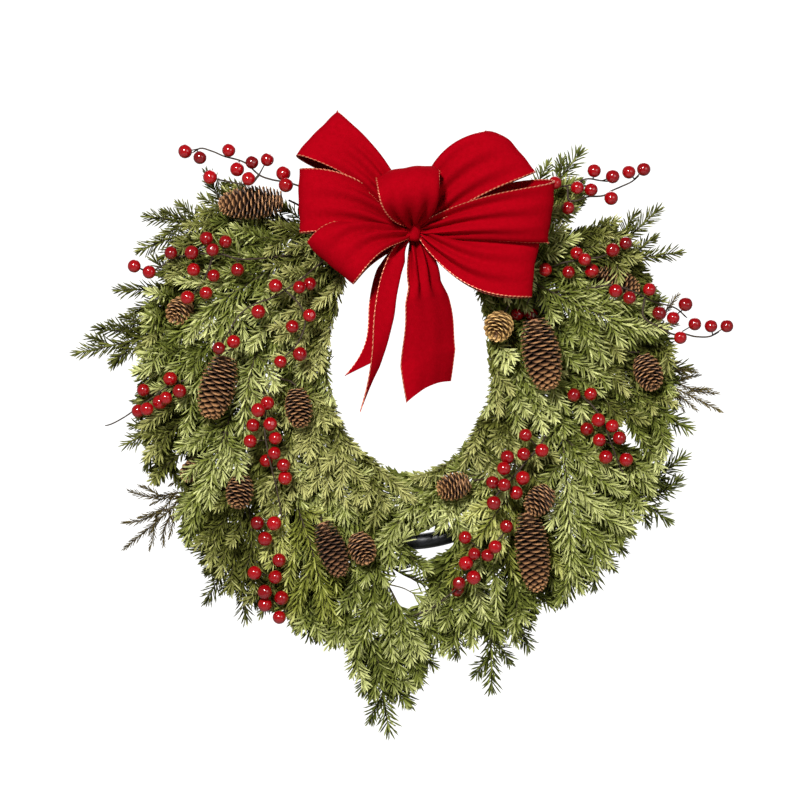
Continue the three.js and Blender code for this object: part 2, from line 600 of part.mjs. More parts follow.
// A side shoot is left out where no bend of it keeps clear of the other pieces.
function growShoot(body, whorl, shoot, name, own) {
  const [, x, z, depth] = shoot;
  const way = vec(x, -depth, z).sub(whorl[0].middle).normalize();
  const root = body.facing(whorl, way);
  const curveAt = (bend) => shootCurve(root, shoot, bend);
  const keepsClear = (forkShare) => (bend) => {
    return isClear(curveAt(bend), SHOOT_RADIUS, [[name, ROOT_SHARE], [`${name}.`, forkShare]]);
  };
  const bend = BENDS.find(keepsClear(FORK_SHARE)) ?? BENDS.find(keepsClear(ROOT_SHARE));
  if (!bend) return null;
  const curve = curveAt(bend);
  const length = curve.getLength();
  const { line, bandAt } = marked(curve, whorlMarks(length, SHORT_BAND * 3), length - TIP_NEEDLE);
  const tube = body.tube(line, SHOOT_RADIUS, TIP_RADIUS, root);
  body.close(tube, curve.getPointAt(1));
  takeLine([...line, curve.getPointAt(1)], SHOOT_RADIUS, own);
  return bandAt.map((band) => tube.bands[band]);
}

// Needles on three faces of each whorl, every other whorl's on the faces between. A needle is
// tried at full size, then bent forward, then short, and is left out where even that would touch
// another piece or the wall.
const NEEDLE_TRIALS = [[1, 1], [0.55, 1], [1, 0.6], [0.5, 0.55]]; // shares of tilt and length
const NEEDLE_BASE = 0.9; // radius of a needle where it leaves its stem
const NEEDLE_POINT = 0.1;

function growNeedles({ body, stems }, length) {
  for (const { name, whorls } of stems) {
    whorls.forEach((whorl, i) => {
      for (const face of whorl.filter((f, j) => j % 2 === i % 2 && !f.used)) {
        for (const [tiltShare, share] of NEEDLE_TRIALS) {
          const tilt = radians(NEEDLE_TILT * tiltShare);
          const way = face.out.clone().multiplyScalar(Math.sin(tilt));
          way.addScaledVector(face.along, Math.cos(tilt));
          const tip = face.middle.clone().addScaledVector(way, length * share);
          const foot = face.middle.clone().addScaledVector(way, length * share * NEEDLE_FOOT);
          if (tip.y < WALL_PLANE && isFree(foot, tip, NEEDLE_BASE, NEEDLE_POINT, [name])) {
            taken.push({ a: foot, b: tip, ra: NEEDLE_BASE, rb: NEEDLE_POINT, name: `${name}.needle` });
            body.spike(face, tip);
            break;
          }
        }
      }
    });
  }
}

// ---- Cones ---------------------------------------------------------------------------------

const CONE_SIDES = 10;
const SCALE_ROW = 8; // distance from one row of scales to the next
const SCALE_DEPTH = 0.24; // how deep the gaps between scales are, as a share of the radius

// Width of a cone at a share of its length, as a share of its widest.
const coneWidth = (share) => Math.sin(Math.PI * (0.16 + 0.78 * share ** 0.85)) ** 0.8;

// Rows of scales as relief: each row's scales stand over the gaps of the row before it.
function cone([bx, bz, bd, tx, tz, td, diameter]) {
  const base = vec(bx, -bd, bz);
  const tip = vec(tx, -td, tz);
  const axis = tip.clone().sub(base);
  const length = axis.length();
  axis.normalize();
  const u = vec(0, -1, 0).addScaledVector(axis, axis.y).normalize();
  const w = axis.clone().cross(u);
  const rows = Math.max(4, Math.round(length / SCALE_ROW) + 1);
  const vertices = [base.clone(), tip.clone().addScaledVector(axis, 1)];
  for (let i = 0; i < rows; i++) {
    const share = (i + 0.5) / rows;
    for (let j = 0; j < CONE_SIDES; j++) {
      const isScale = (i + j) % 2 === 0;
      const turn = (2 * Math.PI * j) / CONE_SIDES;
      const radius = (diameter / 2) * coneWidth(share) * (isScale ? 1 : 1 - SCALE_DEPTH);
      const rise = length * share + (isScale ? 0.3 : -0.3) * SCALE_ROW;
      const spoke = u.clone().multiplyScalar(Math.cos(turn)).addScaledVector(w, Math.sin(turn));
      vertices.push(base.clone().addScaledVector(axis, rise).addScaledVector(spoke, radius));
    }
  }
  const at = (i, j) => 2 + i * CONE_SIDES + (j % CONE_SIDES);
  const triangles = [];
  for (let j = 0; j < CONE_SIDES; j++) {
    triangles.push([0, at(0, j + 1), at(0, j)], [1, at(rows - 1, j), at(rows - 1, j + 1)]);
    for (let i = 0; i + 1 < rows; i++) {
      const [a, b, c, d] = [at(i, j), at(i, j + 1), at(i + 1, j + 1), at(i + 1, j)];
      if ((i + j) % 2 === 0) triangles.push([a, b, d], [b, c, d]);
      else triangles.push([a, b, c], [a, c, d]);
    }
  }
  return solid(new THREE.BufferGeometry().setFromPoints(vertices).setIndex(triangles.flat()));
}

// The stalk lies along the hoop at its seat and then runs to the cone's base.
const STALK_RADIUS = 1.2;
const STALK_BUTT = 10;
const STALK_STEPS = 9;

function bareTube(points, radius) {
  const body = new Body();
  const tip = points[points.length - 1];
  body.close(body.tube(points.slice(0, -1), radius, radius), tip);
  return body.geometry();
}

function stalkCurve(seat, [bx, bz, bd, tx, tz, td], { lift, sway }) {
  const base = vec(bx, -bd, bz);
  const inward = vec(tx, -td, tz).sub(base).normalize();
  const start = butt(seat, STALK_RADIUS, STALK_BUTT);
  const middle = swayed(start[2].clone().lerp(base, 0.5).add(vec(0, -lift, 0)), start[2], base, sway);
  const before = base.clone().addScaledVector(inward, -6);
  const within = base.clone().addScaledVector(inward, 4);
  return easy([start[0], start[2], middle, before, within]);
}

function placeStalk(wanted, place, name) {
  const curvesAt = (at, bend) => [stalkCurve(at, place, bend)];
  const skips = [["hoop", STALK_BESIDE], [name, 1]];
  const { seat, bend } = findPlace(wanted, STALK_RADIUS, STALK_BUTT, false, skips, curvesAt);
  return stalkCurve(seat, place, bend);
}

// ---- Berry sprays --------------------------------------------------------------------------

const TWIG_BUTT = 12; // the stretch of a twig that lies along the hoop
const SHARED_MARK = 8; // berries closer than this along a twig share a band
const BANDS_TRIED = 5;
// How far in front of its twig a berry is tried.
const BERRY_FORWARD = [6, 9, 3, 12, 0, 15, -3, 18, -6, 21, -9, 24, -12, 27];
const LEAST_FACING = 0.25; // cosine between a stalk and the way its face looks
const STALK_FLARE = 1; // radius of a stalk where it leaves its twig

// A berry is an icosahedron on a stalk: the face that looks at the twig is drawn in to the
// stalk's three corners, and the stalk runs from there to a face of the twig.
function growBerry(body, face, ball) {
  face.used = true;
  const axis = face.middle.clone().sub(ball).normalize();
  const spoke = body.points[face.corners[0]].clone().sub(face.middle);
  spoke.addScaledVector(axis, -spoke.dot(axis)).normalize();
  const ring = (height, radius, halfTurn) =>
    Array.from({ length: SIDES }, (_, j) => {
      const way = spoke.clone().applyAxisAngle(axis, (-2 * Math.PI * (j + halfTurn / 2)) / SIDES);
      const p = ball.clone().addScaledVector(axis, height * BERRY_RADIUS);
      return body.point(p.addScaledVector(way, radius * BERRY_RADIUS));
    });
  // Heights and radii of an icosahedron that stands on a face, as shares of its radius.
  const [high, low, wide, narrow] = [0.795, 0.188, 0.982, 0.607];
  const neck = ring(0.99, PEDICEL_RADIUS / BERRY_RADIUS, 0);
  const upper = ring(low, wide, 1);
  const lower = ring(-low, wide, 0);
  const bottom = ring(-high, narrow, 1);
  for (let j = 0; j < SIDES; j++) {
    const next = (j + 1) % SIDES;
    const before = (j + SIDES - 1) % SIDES;
    body.face(face.corners[j], face.corners[next], neck[j]);
    body.face(neck[j], face.corners[next], neck[next]);
    body.face(neck[j], neck[next], upper[j]);
    body.face(neck[j], upper[j], lower[j]);
    body.face(neck[j], lower[j], upper[before]);
    body.face(upper[j], bottom[j], lower[j]);
    body.face(upper[j], lower[next], bottom[j]);
    body.face(lower[j], bottom[j], bottom[before]);
  }
  body.face(bottom[0], bottom[1], bottom[2]);
}

// Berries near each other along a twig share one mark, and a mark keeps clear of the twig's ends.
function sharedMarks(places, length) {
  const marks = [];
  for (const place of [...places].sort((a, b) => a - b)) {
    const mark = THREE.MathUtils.clamp(place, SHORT_BAND * 2, length - SHORT_BAND * 3);
    if (marks.length === 0 || mark - marks[marks.length - 1] > SHARED_MARK) marks.push(mark);
  }
  return marks;
}

// Length along a curve of its nearest point to a place, as seen from the front.
function lengthNear(curve, x, z) {
  const steps = 80;
  const points = curve.getSpacedPoints(steps);
  const off = (p) => Math.hypot(p.x - x, p.z - z);
  const best = points.reduce((a, b, i) => (off(b) < off(points[a]) ? i : a), 0);
  return { at: (curve.getLength() * best) / steps, off: off(points[best]) };
}

// The curves of a spray's twigs. The first starts on the hoop and each other on the one before.
function twigCurves(twigs, seat, { lift }) {
  const curves = [];
  twigs.forEach((places, i) => {
    const route = places.map(([x, z, depth]) => vec(x, -depth - lift, z));
    if (i === 0) return curves.push(easy([...butt(seat, TWIG_RADIUS, TWIG_BUTT, TWIG_GAP), ...route]));
    const before = curves[i - 1];
    const root = before.getPointAt(lengthNear(before, route[0].x, route[0].z).at / before.getLength());
    return curves.push(easy([root, ...route]));
  });
  return curves;
}

function growSpray({ seat: wanted, twigs, berries }, name) {
  const body = new Body();
  const curvesAt = (at, bend) => twigCurves(twigs, at, bend);
  const { seat, bend } = findPlace(wanted, TWIG_RADIUS, TWIG_BUTT, false, [["hoop", TWIG_BESIDE]], curvesAt);
  const curves = twigCurves(twigs, seat, bend);
  const homes = berries.map(([x, z]) => {
    const near = curves.map((curve, i) => {
      const { at, off } = lengthNear(curve, x, z);
      return { i, at, off };
    });
    return near.reduce((a, b) => (b.off < a.off ? b : a));
  });

  const tubes = [];
  curves.forEach((curve, i) => {
    const length = curve.getLength();
    const own = `${name}.${i}`;
    const wanted = homes.filter((home) => home.i === i).map((home) => home.at);
    const next = curves[i + 1] && curves[i + 1].points[0];
    if (next) wanted.push(lengthNear(curve, next.x, next.z).at);
    const clear = i === 0 ? TWIG_BUTT + SHORT_BAND : 0;
    const marks = sharedMarks(wanted.map((at) => Math.max(at, clear)), length);
    const { line, bandAt } = marked(curve, marks, length - SHORT_BAND);
    let root = null;
    if (i > 0) {
      const { at } = lengthNear(curves[i - 1], line[0].x, line[0].z);
      const band = nearestBand(tubes[i - 1], at);
      root = body.facing(band, line[1].clone().sub(line[0]).normalize());
      line[0] = root.middle;
    }
    const tube = body.tube(line, TWIG_RADIUS, TWIG_RADIUS * 0.7, root);
    body.close(tube, curve.getPointAt(1));
    takeLine([...line, curve.getPointAt(1)], TWIG_RADIUS, own);
    tubes.push({ name: own, marks, bands: bandAt.map((b) => tube.bands[b]) });
  });
  return { body, tubes, berries };
}

const nearestBand = ({ marks, bands }, at) =>
  bands[marks.reduce((best, mark, i) => (Math.abs(mark - at) < Math.abs(marks[best] - at) ? i : best), 0)];

// Each berry hangs from the nearest band, and at the first depth, where it and its stalk touch
// nothing.
function hangBerries({ body, tubes, berries }) {
  for (const [x, z] of berries) {
    const off = ({ band }) => Math.hypot(band[0].middle.x - x, band[0].middle.z - z);
    const bands = tubes.flatMap((twig) => twig.bands.map((band) => ({ twig, band })));
    bands.sort((a, b) => off(a) - off(b));
    bands.slice(0, BANDS_TRIED).some(({ twig, band }) => BERRY_FORWARD.some((forward) => {
      const ball = vec(x, band[0].middle.y - forward, z);
      const free = band.filter((f) => !f.used);
      if (free.length === 0) return false;
      const face = body.facing(band, ball.clone().sub(free[0].middle).normalize());
      const way = ball.clone().sub(face.middle).normalize();
      const shoulder = ball.clone().addScaledVector(way, -BERRY_RADIUS);
      const foot = face.middle.clone().lerp(shoulder, STALK_FOOT);
      const clear =
        way.dot(face.out) > LEAST_FACING &&
        isFree(ball, ball, BERRY_RADIUS, BERRY_RADIUS) &&
        isFree(foot, shoulder, STALK_FLARE, PEDICEL_RADIUS, [twig.name]);
      if (!clear) return false;
      growBerry(body, face, ball);
      taken.push({ a: ball, b: ball, ra: BERRY_RADIUS, rb: BERRY_RADIUS, name: "berry" });
      taken.push({ a: foot, b: shoulder, ra: STALK_FLARE, rb: PEDICEL_RADIUS, name: `${twig.name}.stalk` });
      return true;
    }));
  }
}

// ---- The bow -------------------------------------------------------------------------------

const KNOT = vec(8, -62, 153);
const KNOT_RADIUS = 11;
const HALF = RIBBON_WIDTH / 2;

// A ribbon as a thin closed slab. place(s, t) gives a point at s along it and t across it, both
// from 0 to 1, and the slab is thickened along the surface's own normal.
function ribbon(place, steps, across) {
  const point = (i, j) => place(i / steps, j / across);
  const vertices = [];
  for (const side of [1, -1]) {
    for (let i = 0; i <= steps; i++) {
      for (let j = 0; j <= across; j++) {
        const alongS = point(Math.min(i + 1, steps), j).sub(point(Math.max(i - 1, 0), j));
        const alongT = point(i, Math.min(j + 1, across)).sub(point(i, Math.max(j - 1, 0)));
        const normal = alongS.cross(alongT).normalize();
        vertices.push(point(i, j).addScaledVector(normal, (side * RIBBON_THICKNESS) / 2));
      }
    }
  }
  const layer = (steps + 1) * (across + 1);
  const at = (side, i, j) => side * layer + i * (across + 1) + j;
  const triangles = [];
  const quad = (a, b, c, d) => triangles.push([a, b, c], [a, c, d]);
  for (let i = 0; i < steps; i++) {
    for (let j = 0; j < across; j++) {
      quad(at(0, i, j), at(0, i + 1, j), at(0, i + 1, j + 1), at(0, i, j + 1));
      quad(at(1, i, j), at(1, i, j + 1), at(1, i + 1, j + 1), at(1, i + 1, j));
    }
    quad(at(0, i, 0), at(1, i, 0), at(1, i + 1, 0), at(0, i + 1, 0));
    quad(at(0, i, across), at(0, i + 1, across), at(1, i + 1, across), at(1, i, across));
  }
  for (let j = 0; j < across; j++) {
    quad(at(0, 0, j), at(0, 0, j + 1), at(1, 0, j + 1), at(1, 0, j));
    quad(at(0, steps, j), at(1, steps, j), at(1, steps, j + 1), at(0, steps, j + 1));
  }
  return solid(new THREE.BufferGeometry().setFromPoints(vertices).setIndex(triangles.flat()));
}

// A loop leaves the knot, swells towards the viewer, turns over at its fold and comes back behind.
// fold holds the two ends of the turn as [x, z], and depth is how far forward its middle is.
// A loop bows out sideways on its way, by bow mm away from the first end of its fold.
const LOOPS = [
  { fold: [[-107, 225], [-68, 272]], depth: 78, swell: 22, bow: 7 }, // upper left
  { fold: [[-104, 213], [-104, 149]], depth: 86, swell: 24, bow: -9 }, // middle left
  { fold: [[-101, 141], [-53, 100]], depth: 80, swell: 24, bow: -4 }, // lower left
  { fold: [[85, 259], [131, 215]], depth: 80, swell: 22, bow: -13 }, // upper right
  { fold: [[148, 202], [141, 139]], depth: 88, swell: 24, bow: -9 }, // middle right
  { fold: [[134, 150], [124, 88]], depth: 68, swell: 20, bow: 12 }, // lower right
  { fold: [[-20, 208], [36, 213]], depth: 104, swell: 14, bow: 0 }, // the small loop over the knot
];
const LOOP_STEPS = 10; // lengths that a loop's ribbon is made in
const TAIL_STEPS = 9;
const GATHERED = 0.15; // width of a loop at the knot, as a share of the ribbon's full width
const TAIL_GATHERED = 0.08; // and of a tail
const FULLNESS = 0.7; // the lower, the sooner a loop has its full width
const CUP = 5; // how far the ribbon's edges curl back
const TUCK = 9.3; // distance from the knot's middle at which a loop starts, just inside the knot
const PARTING = 3; // half the distance between a loop's two layers at the knot

// Half the ribbon's width at a fold, leaning in depth where the fold looks narrower than it is.
function foldHalf([a, b]) {
  const half = vec((b[0] - a[0]) / 2, 0, (b[1] - a[1]) / 2);
  const lean = Math.sqrt(Math.max(0, HALF ** 2 - half.lengthSq()));
  return half.add(vec(0, lean, 0)).setLength(HALF);
}

function loopPlace({ fold, depth, swell, bow }) {
  const middle = vec((fold[0][0] + fold[1][0]) / 2, -depth, (fold[0][1] + fold[1][1]) / 2);
  const far = middle.sub(KNOT);
  const half = foldHalf(fold);
  const normal = far.clone().cross(half).normalize();
  if (normal.y > 0) normal.negate();
  return (s, t) => {
    const side = 2 * t - 1;
    const rise = (1 - Math.cos(2 * Math.PI * s)) / 2;
    const out = THREE.MathUtils.lerp(TUCK / far.length(), 1, rise);
    const width = THREE.MathUtils.lerp(GATHERED, 1, Math.sin((Math.PI / 2) * rise) ** FULLNESS);
    const aside = (bow / HALF) * Math.sin(Math.PI * rise);
    const front = Math.cos(Math.PI * s); // 1 on the layer before, -1 on the layer behind
    const lift = swell * Math.sin(2 * Math.PI * s) * Math.sin(Math.PI * s) + PARTING * front;
    return KNOT.clone()
      .addScaledVector(far, out)
      .addScaledVector(normal, lift - CUP * width * side ** 2 * front)
      .addScaledVector(half, width * side + aside);
  };
}

// A tail is gathered behind the knot and hangs from there along a curve, widening as it leaves.
const TAIL_TOP = KNOT.clone().add(vec(0, KNOT_RADIUS + RIBBON_THICKNESS, 2));
const TAILS = [
  { line: [[2, 136, 53], [-10, 105, 66], [-19, 60, 76], [-32, 11, 80]], edge: [0.45, 0.89, 0], cut: 34 },
  { line: [[12, 130, 54], [17, 100, 64], [22, 50, 74], [22, -2, 78]], edge: [0.8, 0.6, 0], cut: 11 },
];

function tailPlace({ line, edge, cut }) {
  const curve = new THREE.CatmullRomCurve3([TAIL_TOP, ...line.map(([x, z, depth]) => vec(x, -depth, z))]);
  const width = vec(...edge).normalize();
  return (s, t) => {
    const side = 2 * t - 1;
    const widened = Math.min(1, 2.2 * s);
    const across = vec(1, 0, 0).lerp(width, widened).normalize();
    const point = curve.getPointAt(s);
    point.addScaledVector(across, HALF * THREE.MathUtils.lerp(TAIL_GATHERED, 1, widened) * side);
    point.y += CUP * side ** 2;
    point.z += cut * side * s;
    return point;
  };
}

// The wire that holds the bow: a turn round the hoop, and a shank to the tails' top behind the knot.
const BOW_SEAT = [6, -30];

function bowWireCurve() {
  const foot = butt(BOW_SEAT, STALK_RADIUS, STALK_BUTT);
  const head = TAIL_TOP.clone().add(vec(0, RIBBON_THICKNESS / 2 + 2.6 * SEAT_GAP, 0));
  return easy([...foot, foot[2].clone().lerp(head, 0.5), head]);
}

function bowWire() {
  const curve = bowWireCurve();
  const length = curve.getLength();
  const { line, bandAt } = marked(curve, [(STALK_BUTT - SHORT_BAND) / 2], length - SHORT_BAND);
  const body = new Body();
  const shank = body.tube(line, STALK_RADIUS, STALK_RADIUS);
  body.close(shank, curve.getPointAt(1));
  tie(body, BOW_SEAT, shank.bands[bandAt[0]]);
  return body.geometry();
}

// ---- Putting the wreath together ------------------------------------------------------------

const wreath = new THREE.Group();
wreath.position.z = -(HOOP_RADIUS - HOOP_TUBE);

function addPiece(name, geometry, kind) {
  const mesh = new THREE.Mesh(geometry, finish(kind));
  mesh.name = name;
  wreath.add(mesh);
}

const number = (i) => String(i + 1).padStart(2, "0");

// Everything takes its place in turn: the hoop and the bow, the cones, the berries and the
// boughs' stems. Then the needles grow into the room that is left.
const hoopCorners = Array.from({ length: HOOP_STEPS + 1 }, (_, i) => outward((i * 360) / HOOP_STEPS));
takeLine(hoopCorners.map((way) => way.multiplyScalar(HOOP_RADIUS)), HOOP_TUBE, "hoop");

const bows = LOOPS.map(loopPlace);
const tails = TAILS.map(tailPlace);
const RIBBON_ROWS = 36; // lines across each ribbon that keep the room that it takes
const RIBBON_CLEARANCE = 3.5; // room to each side of a ribbon's face
const ROW_PIECES = 6;
for (const place of [...bows, ...tails]) {
  for (let i = 0; i <= RIBBON_ROWS; i++) {
    const row = Array.from({ length: ROW_PIECES + 1 }, (_, j) => place(i / RIBBON_ROWS, j / ROW_PIECES));
    takeLine(row, RIBBON_CLEARANCE, "bow");
  }
}
takeLine([KNOT, KNOT], KNOT_RADIUS, "bow");
takeLine(bowWireCurve().getPoints(12), STALK_RADIUS, "bow");
takeLine(tieCorners(BOW_SEAT), TIE_WIRE, "bow");

CONES.forEach(({ cones }, i) => {
  cones.forEach(([bx, bz, bd, tx, tz, td, diameter]) => {
    const [a, b] = [vec(bx, -bd, bz), vec(tx, -td, tz)];
    taken.push({ a, b, ra: diameter / 2, rb: diameter / 3, name: `cone${i}` });
  });
});
const stalks = CONES.map(({ seat, cones }, i) => {
  return cones.map((place) => {
    const line = placeStalk(seat, place, `cone${i}`).getSpacedPoints(STALK_STEPS);
    takeLine(line, STALK_RADIUS, `cone${i}`);
    return line;
  });
});
const sprays = BERRY_SPRAYS.map((spray, i) => growSpray(spray, `spray${i}`));
sprays.forEach(hangBerries);
const boughs = BOUGHS.map((bough, i) => growStems(bough, `bough${i}`));

addPiece("hoop", hoop(), "hoop");

BOUGHS.forEach(({ kind }, i) => {
  growNeedles(boughs[i], NEEDLE_LENGTH * (kind === "cedar" ? CEDAR_SHARE : 1));
  addPiece(`bough_${number(i)}_${kind}`, boughs[i].body.geometry(), kind);
});

CONES.forEach(({ cones }, i) => {
  const parts = cones.flatMap((c, j) => [cone(c), solid(bareTube(stalks[i][j], STALK_RADIUS))]);
  addPiece(`${cones.length > 1 ? "cone_pair" : "cone"}_${number(i)}`, fused(parts), "cone");
});

sprays.forEach(({ body }, i) => addPiece(`berry_spray_${number(i)}`, body.geometry(), "berry"));

const knot = new THREE.IcosahedronGeometry(KNOT_RADIUS, 1).translate(KNOT.x, KNOT.y, KNOT.z);
addPiece("bow_loops", fused([solid(knot), ...bows.map((place) => ribbon(place, LOOP_STEPS, 2))]), "ribbon");
addPiece("bow_tails", fused(tails.map((place) => ribbon(place, TAIL_STEPS, 2))), "ribbon");
addPiece("bow_wire", bowWire(), "wire");

export default wreath;
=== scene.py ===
# %% [markdown]
# # A fresh evergreen wreath
# The wreath is boughs of fir and cedar wired to a black hoop, with pine cones, sprays of red
# berries and a velvet bow. The solids of the part are already packed, so this lesson only dresses
# them: each piece below stands exactly where its solid is, with the fine shape and the finish that
# a hand or an eye would expect. First the imported solids are loaded.
# %% Load the solids
import math
import bmesh
import bpy
import numpy as np
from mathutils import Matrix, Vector


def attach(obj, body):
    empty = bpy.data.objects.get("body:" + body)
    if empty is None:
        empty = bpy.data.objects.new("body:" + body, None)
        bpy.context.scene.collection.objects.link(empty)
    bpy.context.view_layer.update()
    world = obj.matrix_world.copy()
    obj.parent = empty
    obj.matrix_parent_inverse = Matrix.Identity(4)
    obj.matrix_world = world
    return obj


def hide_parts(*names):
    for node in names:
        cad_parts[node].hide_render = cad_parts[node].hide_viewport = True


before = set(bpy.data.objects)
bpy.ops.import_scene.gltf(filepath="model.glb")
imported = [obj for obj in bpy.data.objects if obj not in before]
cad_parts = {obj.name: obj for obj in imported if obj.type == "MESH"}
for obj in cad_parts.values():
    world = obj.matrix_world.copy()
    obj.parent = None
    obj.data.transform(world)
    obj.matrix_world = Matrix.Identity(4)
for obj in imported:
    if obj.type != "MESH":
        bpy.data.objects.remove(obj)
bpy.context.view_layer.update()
bpy.ops.object.select_all(action="DESELECT")
random = np.random.default_rng(12)
MM = 0.001
HOOP_MIDDLE = np.array([0.0, 0.0, -152.0])  # mm, below the hook's seat, which is the origin

# %% [markdown]
# ## The camera
# The wreath is seen square on, as it hangs on a door. A long lens a little over two metres off
# keeps the front of the bow from looking larger than the boughs behind it. 0.8 m of the wreath's
# front fills the picture from side to side, so that one thousandth of a metre is one pixel.
# %% Camera
LENS = 100.0  # mm
SEEN_WIDTH = 0.8  # m
FRONT = -0.045  # m, the depth where the picture's scale is true
MIDDLE_X, MIDDLE_Z = -0.005, -0.167  # m, the middle of the picture
camera_data = bpy.data.cameras.new("camera")
camera_data.lens = LENS
camera = bpy.data.objects.new("camera", camera_data)
camera.location = (MIDDLE_X, FRONT - SEEN_WIDTH * LENS / camera_data.sensor_width, MIDDLE_Z)
camera.rotation_euler = (math.pi / 2, 0, 0)
bpy.context.scene.collection.objects.link(camera)
bpy.context.scene.camera = camera
print("camera", tuple(round(c, 3) for c in camera.location))


# %% [markdown]
# ## Colours and shared effects
# Each finish is a small network of nodes. Leaves, scales and cloth never have one flat colour, so
# two effects are made once as node groups and set into each finish with its own values. The first
# spreads three tones over a piece by a number kept on each needle or scale, so each has its own
# tone. The second is a fine mottle, for bark, paint and skin.
# %% Node helpers
def node_in(tree, kind, **values):
    """A new node, with its settings and the values of its inputs."""
    made = tree.nodes.new(kind)
    for name, value in values.items():
        if name in made.inputs:
            made.inputs[name].default_value = value
        else:
            setattr(made, name, value)
    return made


def new_group(name, inputs, outputs):
    """An empty node group with its ends. Inputs and outputs are (name, kind, value)."""
    group = bpy.data.node_groups.new(name, "ShaderNodeTree")
    for label, kind, value in inputs:
        socket = group.interface.new_socket(name=label, in_out="INPUT", socket_type="NodeSocket" + kind)
        socket.default_value = value
    for label, kind, _ in outputs:
        group.interface.new_socket(name=label, in_out="OUTPUT", socket_type="NodeSocket" + kind)
    return group, group.nodes.new("NodeGroupInput"), group.nodes.new("NodeGroupOutput")


def leaf_tones():
    """Each needle or scale gets its own tone between deep, plain and light, lighter to its tip."""
    group, start, end = new_group("leaf tones", [
        ("Deep", "Color", (0, 0, 0, 1)), ("Plain", "Color", (0.5, 0.5, 0.5, 1)),
        ("Light", "Color", (1, 1, 1, 1)), ("Tip", "Float", 0.3)], [("Color", "Color", None)])
    own = node_in(group, "ShaderNodeAttribute", attribute_name="tone")
    split = node_in(group, "ShaderNodeSeparateColor")
    group.links.new(own.outputs["Color"], split.inputs[0])
    to_tip = node_in(group, "ShaderNodeMath", operation="MULTIPLY")
    group.links.new(split.outputs[1], to_tip.inputs[0])
    group.links.new(start.outputs["Tip"], to_tip.inputs[1])
    total = node_in(group, "ShaderNodeMath", operation="ADD", use_clamp=True)
    group.links.new(split.outputs[0], total.inputs[0])
    group.links.new(to_tip.outputs[0], total.inputs[1])
    low = node_in(group, "ShaderNodeMapRange", **{"From Min": 0.0, "From Max": 0.5})
    high = node_in(group, "ShaderNodeMapRange", **{"From Min": 0.5, "From Max": 1.0})
    first = node_in(group, "ShaderNodeMix", data_type="RGBA")
    second = node_in(group, "ShaderNodeMix", data_type="RGBA")
    for part in (low, high):
        group.links.new(total.outputs[0], part.inputs["Value"])
    group.links.new(low.outputs[0], first.inputs[0])
    group.links.new(start.outputs["Deep"], first.inputs[6])
    group.links.new(start.outputs["Plain"], first.inputs[7])
    group.links.new(high.outputs[0], second.inputs[0])
    group.links.new(first.outputs[2], second.inputs[6])
    group.links.new(start.outputs["Light"], second.inputs[7])
    group.links.new(second.outputs[2], end.inputs["Color"])
    return group


def mottle():
    """A fine uneven pattern in object space: a colour between two, and a height."""
    group, start, end = new_group("mottle", [
        ("One", "Color", (0, 0, 0, 1)), ("Other", "Color", (1, 1, 1, 1)),
        ("Scale", "Float", 200.0)], [("Color", "Color", None), ("Height", "Float", None)])
    place = node_in(group, "ShaderNodeTexCoord")
    noise = node_in(group, "ShaderNodeTexNoise", Detail=4.0)
    mix = node_in(group, "ShaderNodeMix", data_type="RGBA")
    group.links.new(place.outputs["Object"], noise.inputs["Vector"])
    group.links.new(start.outputs["Scale"], noise.inputs["Scale"])
    group.links.new(noise.outputs["Fac"], mix.inputs[0])
    group.links.new(start.outputs["One"], mix.inputs[6])
    group.links.new(start.outputs["Other"], mix.inputs[7])
    group.links.new(mix.outputs[2], end.inputs["Color"])
    group.links.new(noise.outputs["Fac"], end.inputs["Height"])
    return group


LEAF_TONES = leaf_tones()
MOTTLE = mottle()
print("groups", [g.name for g in bpy.data.node_groups])


# %% Material helper
def new_finish(name, group, values, bump=0.0, **shader_values):
    """A Principled finish whose colour comes from one of the groups."""
    finish = bpy.data.materials.new(name)
    finish.use_nodes = True
    tree = finish.node_tree
    shader = tree.nodes["Principled BSDF"]
    effect = node_in(tree, "ShaderNodeGroup", node_tree=group)
    for label, value in values.items():
        effect.inputs[label].default_value = value
    tree.links.new(effect.outputs["Color"], shader.inputs["Base Color"])
    for label, value in shader_values.items():
        shader.inputs[label.replace("_", " ")].default_value = value
    if bump:
        rough = node_in(tree, "ShaderNodeBump", Strength=bump, Distance=0.0006)
        tree.links.new(effect.outputs["Height"], rough.inputs["Height"])
        tree.links.new(rough.outputs["Normal"], shader.inputs["Normal"])
    return finish


def toned_finish(name, deep, plain, light, tip, **shader_values):
    """A finish for stamped copies: their three tones, and how much lighter a copy gets to its tip."""
    tones = {"Deep": (*deep, 1), "Plain": (*plain, 1), "Light": (*light, 1), "Tip": tip}
    return new_finish(name, LEAF_TONES, tones, **shader_values)


def mottled_finish(name, one, other, scale, **shader_values):
    """A finish that wanders between two colours. A bump, if given, follows the same pattern."""
    colours = {"One": (*one, 1), "Other": (*other, 1), "Scale": scale}
    return new_finish(name, MOTTLE, colours, **shader_values)


# %% [markdown]
# ## Needles and bark
# The front boughs are a fresh sage green, the ones behind are olive and browner, a few are yellow
# green, and the cedar sprigs are nearly brown. Their stems are almost black. The needles are only
# faintly waxy, so they are nearly dull.
# %% Finishes of the greenery
def needle_finish(name, deep, plain, light):
    return toned_finish(name, deep, plain, light, 0.3, Roughness=0.5, Specular_IOR_Level=0.12)


